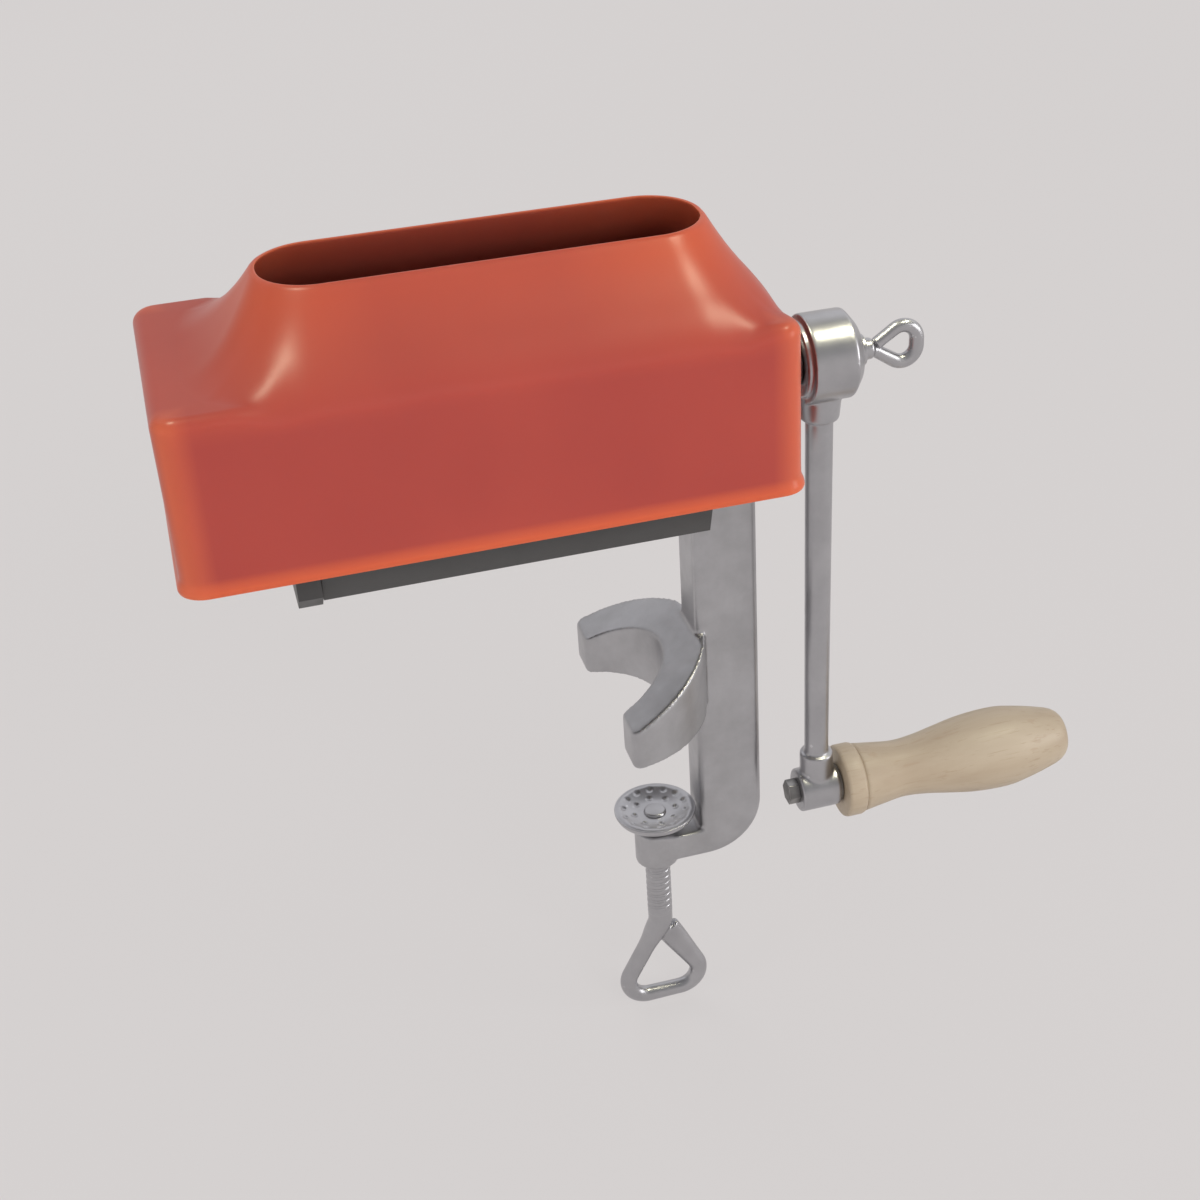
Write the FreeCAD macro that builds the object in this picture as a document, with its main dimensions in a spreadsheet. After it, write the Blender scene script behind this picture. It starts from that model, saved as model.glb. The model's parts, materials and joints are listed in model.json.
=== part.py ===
import FreeCAD, Part
import math
import os
import re
import Sketcher

# Hand-cranked meat tenderizer that clamps to a table edge.
# Row frame, millimetres: the origin is on the upper jaw's seat, which rests on the table top,
# in the machine's middle plane.  +X points along the rollers towards the crank, +Y away from
# the person who cranks, +Z up.

# ---------------------------------------------------------------- driving dimensions

SIZES = {
    # fits
    "running_fit": 0.05,
    "seat_gap": 0.3,
    "cut_past": 1,
    # roller cartridge
    "skirt_low": 106,
    "shaft_rise": 33.5,
    "shaft_spacing": 38,
    "roller_room": 133,
    "blade_radius": 20,
    "blade_thickness": 1.2,
    "blade_pitch": 6,
    "blade_teeth": 16,
    "blade_tooth_depth": 3.6,
    "blade_tooth_land": 1.2,
    "blade_end_room": 9,
    "spacer_radius": 8,
    "shaft_square": 9,
    "journal_radius": 4,
    "drive_journal_radius": 5,
    "journal_flat": 1,
    "rear_shaft_inset": 1,
    "bush_wall": 1.5,
    "bush_flange": 1.5,
    "bush_flange_radius": 8.5,
    # gears
    "gear_teeth": 19,
    "gear_width": 15,
    "gear_backlash": 0.35,
    "gear_hub_step": 3,
    "gear_hub_radius": 11,
    "washer_thickness": 1.2,
    "washer_radius": 8,
    "nut_height": 6,
    "nut_across_flats": 13,
    "stud_past_nut": 1.5,
    # frame casting
    "leg_left": 4,
    "leg_width": 25,
    "leg_depth": 18,
    "leg_below_seat": 73.6,
    "leg_corner_radius": 22,
    "leg_bevel": 2,
    "arm_height": 12.6,
    "arm_boss_radius": 8.6,
    "arm_boss_drop": 2.4,
    "arm_boss_rise": 1,
    "jaw_centre_out": 37.5,
    "jaw_inner_radius": 26,
    "jaw_outer_radius": 42,
    "jaw_reach": 34,
    "jaw_foot_height": 15,
    "jaw_root_height": 31,
    "jaw_foot_round": 3,
    "end_plate_thickness": 10,
    "end_plate_above_skirt": 4,
    "end_plate_corner": 12,
    "end_plate_side_gap": 2.3,
    "front_boss_radius": 9,
    "front_boss_past_cover": 6.7,
    "rear_boss_radius": 6.8,
    "rear_boss_past_cover": 2.2,
    # left end plate
    "left_plate_thickness": 8,
    "left_plate_drop": 20,
    "left_plate_inset": 7.7,
    "left_plate_shoulder": 2,
    "left_plate_corner": 6,
    # tie rods and their screws
    "tie_rod_radius": 3.5,
    "lower_rod_drop": 21.5,
    "upper_rod_below_ceiling": 8,
    "screw_radius": 2,
    "screw_head_radius": 3.5,
    "screw_head_height": 2.6,
    "screw_grip": 10,
    "screw_socket_width": 2.5,
    "screw_socket_depth": 1.4,
    # combs
    "comb_blade_gap": 1,
    "comb_rail_radius": 5.4,
    "comb_web": 4,
    "comb_finger": 3,
    "comb_shaft_gap": 1,
    "comb_finger_below_blade": 3,
    "comb_finger_tip": 4,
    "outlet_half_width": 12,
    "comb_lip_above_plate": 2,
    "comb_lip_lean": 12,
    "comb_lip_thickness": 3,
    # hopper cover
    "cover_wall": 2,
    "cover_end_gap": 2,
    "cover_side_room": 0.6,
    "cover_top_room": 4.5,
    "cover_gear_room": 6,
    "skirt_corner": 8,
    "skirt_top_round": 3,
    "bead_out": 1.2,
    "bead_height": 2.6,
    "chute_rise": 24.5,
    "chute_base_left": 18.5,
    "chute_base_right": 5,
    "chute_base_side": 4,
    "chute_base_corner": 30,
    "chute_lip_left": 38.5,
    "chute_lip_right": 19,
    "chute_lip_width": 41,
    "chute_lip_corner": 19.5,
    # crank
    "crank_radius": 182,
    "hub_radius": 15.5,
    "hub_length": 17.5,
    "hub_collar_radius": 13,
    "hub_collar_length": 2,
    "hub_dome": 5.5,
    "hub_dome_break": 3.3,
    "hub_dome_break_radius": 11.2,
    "hub_nose_radius": 6,
    "crank_end_in_hub": 14,
    "rod_centre": 8.7,
    "rod_lean": 0.8,
    "rod_root": 4,
    "rod_top_radius": 5,
    "rod_low_radius": 4.6,
    "low_boss_radius": 8.6,
    "low_boss_length": 15.5,
    "low_collar_radius": 6.4,
    "low_collar_height": 8.5,
    # eye screw
    "eye_thread_radius": 3,
    "eye_thread_length": 20,
    "eye_washer_radius": 5.5,
    "eye_washer_thickness": 1.2,
    "eye_neck_radius": 3.9,
    "eye_neck_length": 3,
    "eye_wire_radius": 2.4,
    "eye_width": 18,
    "eye_length": 19.5,
    "eye_bend": 4.5,
    # handle and its bolt
    "handle_length": 95.5,
    "handle_flange_radius": 14.3,
    "handle_flange_length": 7.6,
    "handle_flange_edge": 1.2,
    "handle_groove": 0.7,
    "handle_neck_radius": 11.3,
    "handle_neck_at": 25,
    "handle_belly_radius": 16,
    "handle_belly_at": 62,
    "handle_taper_radius": 15,
    "handle_shoulder_radius": 11.8,
    "handle_end_radius": 7.6,
    "handle_end_round": 5,
    "handle_end_crown": 0.65,
    "handle_bolt_radius": 3,
    "handle_head_radius": 5,
    "handle_head_height": 3,
    "handle_head_depth": 4.2,
    "handle_slot_width": 1.4,
    "handle_slot_depth": 1.2,
    "handle_washer_thickness": 1.2,
    "handle_washer_radius": 7.5,
    "handle_nut_height": 4.2,
    "handle_nut_across_flats": 8.6,
    # clamp
    "clamp_out": 16.6,
    "clamp_screw_radius": 5,
    "clamp_pad_leg_gap": 0.6,
    "clamp_pad_above_boss": 3.6,
    "clamp_pad_rim": 3,
    "clamp_pad_edge": 1,
    "clamp_pad_dish": 2,
    "clamp_pad_land": 3,
    "clamp_pad_neck_radius": 8.5,
    "clamp_pad_neck": 2.4,
    "clamp_tip_radius": 3,
    "clamp_tip_head_radius": 4.6,
    "clamp_tip_head_height": 1.2,
    "clamp_stem_below_boss": 34,
    "clamp_loop_length": 42.3,
    "clamp_loop_width": 38.8,
    "clamp_loop_wire_radius": 4.3,
    "clamp_loop_bend": 8.5,
}

# ---------------------------------------------------------------- places worked out from them

PLACES = {
    # across the machine
    "front_y": "-shaft_spacing / 2",
    "rear_y": "shaft_spacing / 2",
    "tie_rod_y": "shaft_spacing / 2 + blade_radius + comb_blade_gap + comb_web / 2",
    "cover_half": "tie_rod_y + comb_rail_radius + cover_side_room + cover_wall",
    "plate_half": "cover_half - cover_wall - end_plate_side_gap",
    "left_plate_low_half": "plate_half - left_plate_inset",
    "comb_lip_in": "tie_rod_y - comb_lip_lean",
    # heights
    "shaft_height": "skirt_low + shaft_rise",
    "ceiling": "shaft_height + blade_radius + cover_top_room",
    "skirt_top": "ceiling + cover_wall",
    "skirt_height": "skirt_top - skirt_low",
    "chute_top": "skirt_top + chute_rise",
    "plate_top": "ceiling - seat_gap",
    "end_plate_low": "skirt_low + end_plate_above_skirt",
    "left_plate_low": "skirt_low - left_plate_drop",
    "left_plate_waist": "skirt_low + left_plate_shoulder",
    "lower_rod_z": "shaft_height - lower_rod_drop",
    "upper_rod_z": "ceiling - upper_rod_below_ceiling",
    "comb_finger_low": "shaft_height - blade_radius - comb_finger_below_blade",
    "comb_lip_low": "left_plate_low + comb_lip_above_plate",
    "leg_low": "-leg_below_seat",
    "arm_top": "leg_low + arm_height",
    "arm_boss_low": "leg_low - arm_boss_drop",
    "arm_boss_top": "arm_top + arm_boss_rise",
    "pad_low": "arm_boss_top + clamp_pad_above_boss",
    "clamp_pad_top": "pad_low + clamp_pad_neck + clamp_pad_rim",
    "dish_floor": "clamp_pad_top - clamp_pad_dish",
    "clamp_stem_low": "arm_boss_low - clamp_stem_below_boss",
    "handle_axis_z": "shaft_height - crank_radius",
    # along the machine, from the leg to the left
    "right_inner": "leg_left",
    "right_outer": "leg_left + end_plate_thickness",
    "left_inner": "leg_left - roller_room",
    "left_outer": "left_inner - left_plate_thickness",
    "clamp_axis": "leg_left - clamp_out",
    "clamp_pad_radius": "clamp_out - clamp_pad_leg_gap",
    "jaw_centre": "leg_left - jaw_centre_out",
    "jaw_foot_end": "leg_left - jaw_reach",
    "room_middle": "(left_inner + right_inner) / 2",
    "front_blade_count": "floor((roller_room - 2 * blade_end_room) / blade_pitch) + 1",
    "rear_blade_count": "front_blade_count - 1",
    "front_first_blade": "room_middle - (front_blade_count - 1) * blade_pitch / 2",
    "rear_first_blade": "room_middle - (rear_blade_count - 1) * blade_pitch / 2",
    "spacer_length": "blade_pitch - blade_thickness",
    "roller_left": "left_inner + bush_flange + seat_gap",
    "roller_right": "right_inner - bush_flange - seat_gap",
    "gear_right": "left_outer - seat_gap",
    "gear_left": "gear_right - gear_hub_step - gear_width",
    "washer_left": "gear_left - washer_thickness",
    "nut_left": "washer_left - nut_height",
    "stud_left": "nut_left - stud_past_nut",
    "cover_left": "stud_left - cover_gear_room - cover_wall",
    # along the machine, from the leg to the crank
    "leg_right": "leg_left + leg_width",
    "cover_right": "leg_right + cover_end_gap + cover_wall",
    "front_boss_end": "cover_right + front_boss_past_cover",
    "rear_boss_end": "cover_right + rear_boss_past_cover",
    "hub_left": "front_boss_end + seat_gap",
    "hub_right": "hub_left + hub_length",
    "hub_nose": "hub_right + hub_dome",
    "drive_shaft_right": "hub_left + crank_end_in_hub",
    "eye_washer_right": "hub_nose + eye_washer_thickness",
    "low_boss_right": "hub_left + low_boss_length",
    "handle_left": "low_boss_right + handle_washer_thickness + seat_gap",
    "handle_right": "handle_left + handle_length",
    "rod_x": "hub_left + rod_centre",
    "rod_low_x": "rod_x - rod_lean",
    # other
    "tooth_root_radius": "blade_radius - blade_tooth_depth",
}

doc = FreeCAD.newDocument("meat_tenderizer")


def fill_sheet(name, cells):
    sheet = doc.addObject("Spreadsheet::Sheet", name)
    for row, (alias, content) in enumerate(cells.items(), start=1):
        sheet.set(f"A{row}", alias)
        sheet.set(f"B{row}", str(content))
        sheet.setAlias(f"B{row}", alias)
    doc.recompute()
    return sheet


def named(formula):
    """The formula with each size and place written as a cell of its own sheet."""
    def cell(match):
        word = match.group(0)
        if word in SIZES:
            return f"sizes.{word}"
        if word in PLACES:
            return f"places.{word}"
        return word
    return re.sub(r"[a-z_]+", cell, str(formula))


size_sheet = fill_sheet("sizes", SIZES)
place_sheet = fill_sheet("places", {})
for place_row, (place_name, place_formula) in enumerate(PLACES.items(), start=1):
    place_sheet.set(f"A{place_row}", place_name)
    place_sheet.set(f"B{place_row}", "=" + named(place_formula))
    place_sheet.setAlias(f"B{place_row}", place_name)
doc.recompute()


def value(formula):
    """A formula of sizes and places as a plain number."""
    return float(size_sheet.evalExpression(named(formula)))


# ---------------------------------------------------------------- drawing helpers

TURNS = {
    "X": FreeCAD.Rotation(FreeCAD.Vector(0, 1, 0), 90),
    "Z": FreeCAD.Rotation(),
}
PIECES = []
EYE_ROUNDS = 12


def bind(thing, formulas):
    for field, formula in formulas.items():
        thing.setExpression(field, named(formula))


def keep(piece, label):
    """Mark a document object as a finished sub-part."""
    piece.Label = label
    PIECES.append(piece)
    return piece


def cylinder(name, radius, start, end, y, z, along="X", x="0"):
    """A round bar from start to end along one axis."""
    bar = doc.addObject("Part::Cylinder", name)
    bar.Placement = FreeCAD.Placement(FreeCAD.Vector(), TURNS[along])
    low = {"X": (start, y, z), "Z": (x, y, start)}[along]
    bind(bar, {
        "Radius": radius,
        "Height": f"({end}) - ({start})",
        "Placement.Base.x": low[0],
        "Placement.Base.y": low[1],
        "Placement.Base.z": low[2],
    })
    return bar


def box(name, low, high):
    block = doc.addObject("Part::Box", name)
    for field, base, first, last in zip(("Length", "Width", "Height"), "xyz", low, high):
        bind(block, {field: f"({last}) - ({first})", f"Placement.Base.{base}": first})
    return block


def prism(name, sides, across_flats, start, end, y, z):
    """A bar with flat sides along X, such as a hexagon nut's blank or a square shaft."""
    bar = doc.addObject("Part::Prism", name)
    bar.Polygon = sides
    turn = FreeCAD.Rotation(FreeCAD.Vector(0, 0, 1), 180 / sides)
    bar.Placement = FreeCAD.Placement(FreeCAD.Vector(), TURNS["X"].multiply(turn))
    bind(bar, {
        "Circumradius": f"({across_flats}) / 2 / cos(180 deg / {sides})",
        "Height": f"({end}) - ({start})",
        "Placement.Base.x": start,
        "Placement.Base.y": y,
        "Placement.Base.z": z,
    })
    return bar


def joined(name, parts):
    whole = doc.addObject("Part::MultiFuse", name)
    whole.Shapes = parts
    return whole


def cut(name, base, tool):
    rest = doc.addObject("Part::Cut", name)
    rest.Base = base
    rest.Tool = tool
    return rest


def grouped(name, parts):
    group = doc.addObject("Part::Compound", name)
    group.Links = parts
    return group


def new_body(name):
    body = doc.addObject("PartDesign::Body", name)
    body.AllowCompound = True
    return body


def origin_feature(body, role):
    return next(item for item in body.Origin.OriginFeatures if item.Role == role)


def new_sketch(body, name, plane, offset="0"):
    """An empty sketch on one of the body's own planes, moved along that plane's normal."""
    sketch = body.newObject("Sketcher::SketchObject", name)
    sketch.AttachmentSupport = [(origin_feature(body, plane + "_Plane"), "")]
    sketch.MapMode = "FlatFace"
    bind(sketch, {"AttachmentOffset.Base.z": offset})
    return sketch


def hold(sketch, kind, item, corner, formula):
    """Tie one coordinate of a sketch point to a formula."""
    index = sketch.addConstraint(Sketcher.Constraint(kind, -1, 1, item, corner, value(formula)))
    bind(sketch, {f"Constraints[{index}]": formula})


def polygon(sketch, corners):
    """A closed outline of straight lines through bound corners."""
    first = sketch.GeometryCount
    spots = [FreeCAD.Vector(value(across), value(up), 0) for across, up in corners]
    for start, end in zip(spots, spots[1:] + spots[:1]):
        sketch.addGeometry(Part.LineSegment(start, end))
    for step, (across, up) in enumerate(corners):
        after = first + (step + 1) % len(corners)
        sketch.addConstraint(Sketcher.Constraint("Coincident", first + step, 2, after, 1))
        hold(sketch, "DistanceX", first + step, 1, across)
        hold(sketch, "DistanceY", first + step, 1, up)


def circle(sketch, across, up, radius):
    centre = FreeCAD.Vector(value(across), value(up), 0)
    item = sketch.addGeometry(Part.Circle(centre, FreeCAD.Vector(0, 0, 1), value(radius)))
    hold(sketch, "DistanceX", item, 3, across)
    hold(sketch, "DistanceY", item, 3, up)
    index = sketch.addConstraint(Sketcher.Constraint("Radius", item, value(radius)))
    bind(sketch, {f"Constraints[{index}]": radius})


def rounded_rectangle(sketch, left, low, right, high, radius):
    """A closed outline of four sides and four tangent corner arcs."""
    x_low, y_low, x_high, y_high = value(left), value(low), value(right), value(high)
    bend = value(radius)
    spots = [
        ((x_low + bend, y_low), (x_high - bend, y_low), (x_high - bend, y_low + bend), 270),
        ((x_high, y_low + bend), (x_high, y_high - bend), (x_high - bend, y_high - bend), 0),
        ((x_high - bend, y_high), (x_low + bend, y_high), (x_low + bend, y_high - bend), 90),
        ((x_low, y_high - bend), (x_low, y_low + bend), (x_low + bend, y_low + bend), 180),
    ]
    for start, end, centre, angle in spots:
        sketch.addGeometry(Part.LineSegment(FreeCAD.Vector(*start, 0), FreeCAD.Vector(*end, 0)))
        ring = Part.Circle(FreeCAD.Vector(*centre, 0), FreeCAD.Vector(0, 0, 1), bend)
        turn = (math.radians(angle), math.radians(angle + 90))
        sketch.addGeometry(Part.ArcOfCircle(ring, *turn))
    for side in (0, 2, 4, 6):
        sketch.addConstraint(Sketcher.Constraint("Tangent", side, 2, side + 1, 1))
        sketch.addConstraint(Sketcher.Constraint("Tangent", side + 1, 2, (side + 2) % 8, 1))
        way = "Horizontal" if side in (0, 4) else "Vertical"
        sketch.addConstraint(Sketcher.Constraint(way, side))
    for arc in (3, 5, 7):
        sketch.addConstraint(Sketcher.Constraint("Equal", 1, arc))
    index = sketch.addConstraint(Sketcher.Constraint("Radius", 1, bend))
    bind(sketch, {f"Constraints[{index}]": radius})
    hold(sketch, "DistanceY", 0, 1, low)
    hold(sketch, "DistanceX", 2, 1, right)
    hold(sketch, "DistanceY", 4, 1, high)
    hold(sketch, "DistanceX", 6, 1, left)


def pad(body, sketch, length, both=False, down=False):
    block = body.newObject("PartDesign::Pad", sketch.Name + "_pad")
    block.Profile = sketch
    block.Midplane = both
    block.Reversed = down
    bind(block, {"Length": length})
    return block


def pocket(body, sketch, both=False, down=False, length=None):
    """Cut a sketch's outline out of a body, right through it if no length is given."""
    hole = body.newObject("PartDesign::Pocket", sketch.Name + "_pocket")
    hole.Profile = sketch
    hole.Midplane = both
    hole.Reversed = down
    if length is None:
        hole.Type = "ThroughAll"
    else:
        bind(hole, {"Length": length})
    return hole


def loft(body, sections, kind):
    skin = body.newObject(f"PartDesign::{kind}Loft", sections[0].Name + "_loft")
    skin.Profile = sections[0]
    skin.Sections = [(section, [""]) for section in sections[1:]]
    skin.Ruled = True
    return skin


def edges_where(feature, test):
    """Names of the edges whose middle point and direction pass a test."""
    names = []
    for number, edge in enumerate(feature.Shape.Edges, start=1):
        middle = edge.valueAt((edge.FirstParameter + edge.LastParameter) / 2)
        if test(edge, middle):
            names.append(f"Edge{number}")
    return names


def rounded(body, base, radius, test):
    doc.recompute()
    bend = body.newObject("PartDesign::Fillet", base.Name + "_round")
    bend.Base = (base, edges_where(base, test))
    bind(bend, {"Radius": radius})
    return bend


def bevelled(body, base, size, test):
    doc.recompute()
    bevel = body.newObject("PartDesign::Chamfer", base.Name + "_bevel")
    bevel.Base = (base, edges_where(base, test))
    bind(bevel, {"Size": size})
    return bevel


def upright(edge):
    """True for a straight edge parallel to Z."""
    ends = edge.Vertexes
    if len(ends) != 2 or edge.Curve.TypeId != "Part::GeomLine":
        return False
    return math.hypot(ends[0].X - ends[1].X, ends[0].Y - ends[1].Y) < 1e-6


# ---------------------------------------------------------------- frame

def frame_casting():
    """Leg, C-shaped upper jaw, lower arm with the screw boss, and the right end plate."""
    body = new_body("frame_casting_body")

    jaw = new_sketch(body, "jaw_disc", "XY")
    circle(jaw, "jaw_centre", "0", "jaw_outer_radius")
    pad(body, jaw, "jaw_root_height")
    notch = new_sketch(body, "jaw_notch", "XY")
    circle(notch, "jaw_centre", "0", "jaw_inner_radius")
    pocket(body, notch, down=True)
    beyond = new_sketch(body, "jaw_feet", "XY")
    far_left = "jaw_centre - jaw_outer_radius - cut_past"
    far_side = "jaw_outer_radius + cut_past"
    polygon(beyond, [
        (far_left, f"-({far_side})"),
        ("jaw_foot_end", f"-({far_side})"),
        ("jaw_foot_end", far_side),
        (far_left, far_side),
    ])
    pocket(body, beyond, down=True)
    slope = new_sketch(body, "jaw_slope", "XZ")
    polygon(slope, [
        ("jaw_foot_end - cut_past", "jaw_foot_height"),
        ("jaw_foot_end", "jaw_foot_height"),
        ("leg_left", "jaw_root_height"),
        ("leg_left", "jaw_root_height + cut_past"),
        ("jaw_foot_end - cut_past", "jaw_root_height + cut_past"),
    ])
    sloped = pocket(body, slope, both=True)
    foot_end = value("jaw_foot_end")
    rounded(body, sloped, "jaw_foot_round", lambda edge, middle: (
        upright(edge) and abs(middle.x - foot_end) < 1e-3))

    side = new_sketch(body, "leg_side", "XZ")
    polygon(side, [
        ("clamp_axis", "leg_low"),
        ("leg_right", "leg_low"),
        ("leg_right", "plate_top"),
        ("leg_left", "plate_top"),
        ("leg_left", "arm_top"),
        ("clamp_axis", "arm_top"),
    ])
    leg = pad(body, side, "leg_depth", both=True)
    corner_x, corner_z = value("leg_right"), value("leg_low")
    leg = rounded(body, leg, "leg_corner_radius", lambda edge, middle: (
        abs(middle.x - corner_x) < 1e-3 and abs(middle.z - corner_z) < 1e-3))
    half_depth = value("leg_depth / 2")
    bevelled(body, leg, "leg_bevel", lambda edge, middle: (
        upright(edge) and abs(abs(middle.y) - half_depth) < 1e-3
        and (middle.z < 0 or abs(middle.x - corner_x) < 1e-3)))

    boss = new_sketch(body, "arm_boss", "XY", "arm_boss_low")
    circle(boss, "clamp_axis", "0", "arm_boss_radius")
    pad(body, boss, "arm_boss_top - arm_boss_low")

    plate = new_sketch(body, "end_plate", "YZ", "right_inner")
    polygon(plate, [
        ("-plate_half + end_plate_corner", "end_plate_low"),
        ("plate_half - end_plate_corner", "end_plate_low"),
        ("plate_half", "end_plate_low + end_plate_corner"),
        ("plate_half", "plate_top"),
        ("-plate_half", "plate_top"),
        ("-plate_half", "end_plate_low + end_plate_corner"),
    ])
    pad(body, plate, "end_plate_thickness")
    for name, across, radius, end in (
            ("front_boss", "front_y", "front_boss_radius", "front_boss_end"),
            ("rear_boss", "rear_y", "rear_boss_radius", "rear_boss_end")):
        sketch = new_sketch(body, name, "YZ", "right_inner")
        circle(sketch, across, "shaft_height", radius)
        pad(body, sketch, f"{end} - right_inner")

    bores = new_sketch(body, "bush_bores", "YZ", "right_inner")
    circle(bores, "front_y", "shaft_height", "drive_journal_radius + running_fit + bush_wall")
    circle(bores, "rear_y", "shaft_height", "journal_radius + running_fit + bush_wall")
    pocket(body, bores, down=True)
    rod_holes(body, "right_rod_holes", "right_inner", "end_plate_thickness", down=True)
    thread = new_sketch(body, "clamp_thread", "XY", "arm_boss_low")
    circle(thread, "clamp_axis", "0", "clamp_screw_radius + running_fit")
    pocket(body, thread, down=True, length="arm_boss_top - arm_boss_low + cut_past")
    return keep(body, "frame_casting")


def rod_places():
    return [
        (name, f"{side} * tie_rod_y", height)
        for name, side, height in (
            ("lower_front", -1, "lower_rod_z"),
            ("lower_rear", 1, "lower_rod_z"),
            ("upper_front", -1, "upper_rod_z"),
            ("upper_rear", 1, "upper_rod_z"),
        )
    ]


def rod_holes(body, name, offset, depth, down=False):
    """Clearance holes for the four tie rod screws."""
    sketch = new_sketch(body, name, "YZ", offset)
    for _, across, up in rod_places():
        circle(sketch, across, up, "screw_radius + running_fit")
    return pocket(body, sketch, down=down, length=depth)


def left_end_plate():
    """Plate that carries the rollers' left bushes, with a narrower skirt below the cover."""
    body = new_body("left_end_plate_body")
    outline = new_sketch(body, "left_outline", "YZ", "left_outer")
    polygon(outline, [
        ("-left_plate_low_half + left_plate_corner", "left_plate_low"),
        ("left_plate_low_half - left_plate_corner", "left_plate_low"),
        ("left_plate_low_half", "left_plate_low + left_plate_corner"),
        ("left_plate_low_half", "left_plate_waist"),
        ("plate_half", "left_plate_waist + left_plate_inset"),
        ("plate_half", "plate_top"),
        ("-plate_half", "plate_top"),
        ("-plate_half", "left_plate_waist + left_plate_inset"),
        ("-left_plate_low_half", "left_plate_waist"),
        ("-left_plate_low_half", "left_plate_low + left_plate_corner"),
    ])
    pad(body, outline, "left_plate_thickness")
    bores = new_sketch(body, "left_bush_bores", "YZ", "left_outer")
    for across in ("front_y", "rear_y"):
        circle(bores, across, "shaft_height", "journal_radius + running_fit + bush_wall")
    pocket(body, bores, down=True)
    rod_holes(body, "left_rod_holes", "left_outer", "left_plate_thickness", down=True)
    return keep(body, "left_end_plate")


def tie_rods():
    """Four bars, tapped at both ends, that space the end plates."""
    for name, y, z in rod_places():
        bar = cylinder(name + "_bar", "tie_rod_radius", "left_inner", "right_inner", y, z)
        left = cylinder(name + "_tap_left", "screw_radius + running_fit", "left_inner",
                        "left_inner + screw_grip + cut_past", y, z)
        right = cylinder(name + "_tap_right", "screw_radius + running_fit",
                         "right_inner - screw_grip - cut_past", "right_inner", y, z)
        holes = joined(name + "_taps", [left, right])
        keep(cut(name + "_rod", bar, holes), name + "_tie_rod")


def socket_screw(name, head_face, tip, outward, y, z):
    """A cap screw along X; outward is -1 or 1, the way its head points."""
    top = f"{head_face} + {outward} * screw_head_height"
    floor = f"{top} - {outward} * screw_socket_depth"
    low, high = (top, head_face) if outward < 0 else (head_face, top)
    head = cylinder(name + "_head", "screw_head_radius", low, high, y, z)
    low, high = (head_face, tip) if outward < 0 else (tip, head_face)
    shank = cylinder(name + "_shank", "screw_radius", low, high, y, z)
    low, high = (f"{top} - cut_past", floor) if outward < 0 else (floor, f"{top} + cut_past")
    socket = prism(name + "_socket", 6, "screw_socket_width", low, high, y, z)
    return cut(name, joined(name + "_blank", [head, shank]), socket)


def tie_rod_screws():
    for side, face, tip, outward in (
            ("left", "left_outer", "left_inner + screw_grip", -1),
            ("right", "right_outer", "right_inner - screw_grip", 1)):
        screws = [
            socket_screw(f"{side}_{name}_screw", face, tip, outward, y, z)
            for name, y, z in rod_places()
        ]
        keep(grouped(f"{side}_screws", screws), f"{side}_tie_rod_screws")


def bush(name, radius, face, end, flange, y):
    """A flanged plain bearing; its flange stands on the inner side of the plate."""
    outer = cylinder(name + "_sleeve", f"{radius} + running_fit + bush_wall",
                     f"min({face}; {end})", f"max({face}; {end})", y, "shaft_height")
    collar = cylinder(name + "_flange", "bush_flange_radius",
                      f"min({face}; {flange})", f"max({face}; {flange})", y, "shaft_height")
    bore = cylinder(name + "_bore", f"{radius} + running_fit",
                    f"min({flange}; {end}) - cut_past", f"max({flange}; {end}) + cut_past",
                    y, "shaft_height")
    keep(cut(name + "_cut", joined(name + "_blank", [outer, collar]), bore), name)


def bushes():
    left_flange = "left_inner + bush_flange"
    right_flange = "right_inner - bush_flange"
    bush("front_left_bush", "journal_radius", "left_inner", "left_outer", left_flange, "front_y")
    bush("rear_left_bush", "journal_radius", "left_inner", "left_outer", left_flange, "rear_y")
    bush("front_right_bush", "drive_journal_radius", "right_inner", "front_boss_end",
         right_flange, "front_y")
    bush("rear_right_bush", "journal_radius", "right_inner", "rear_boss_end",
         right_flange, "rear_y")


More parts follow.
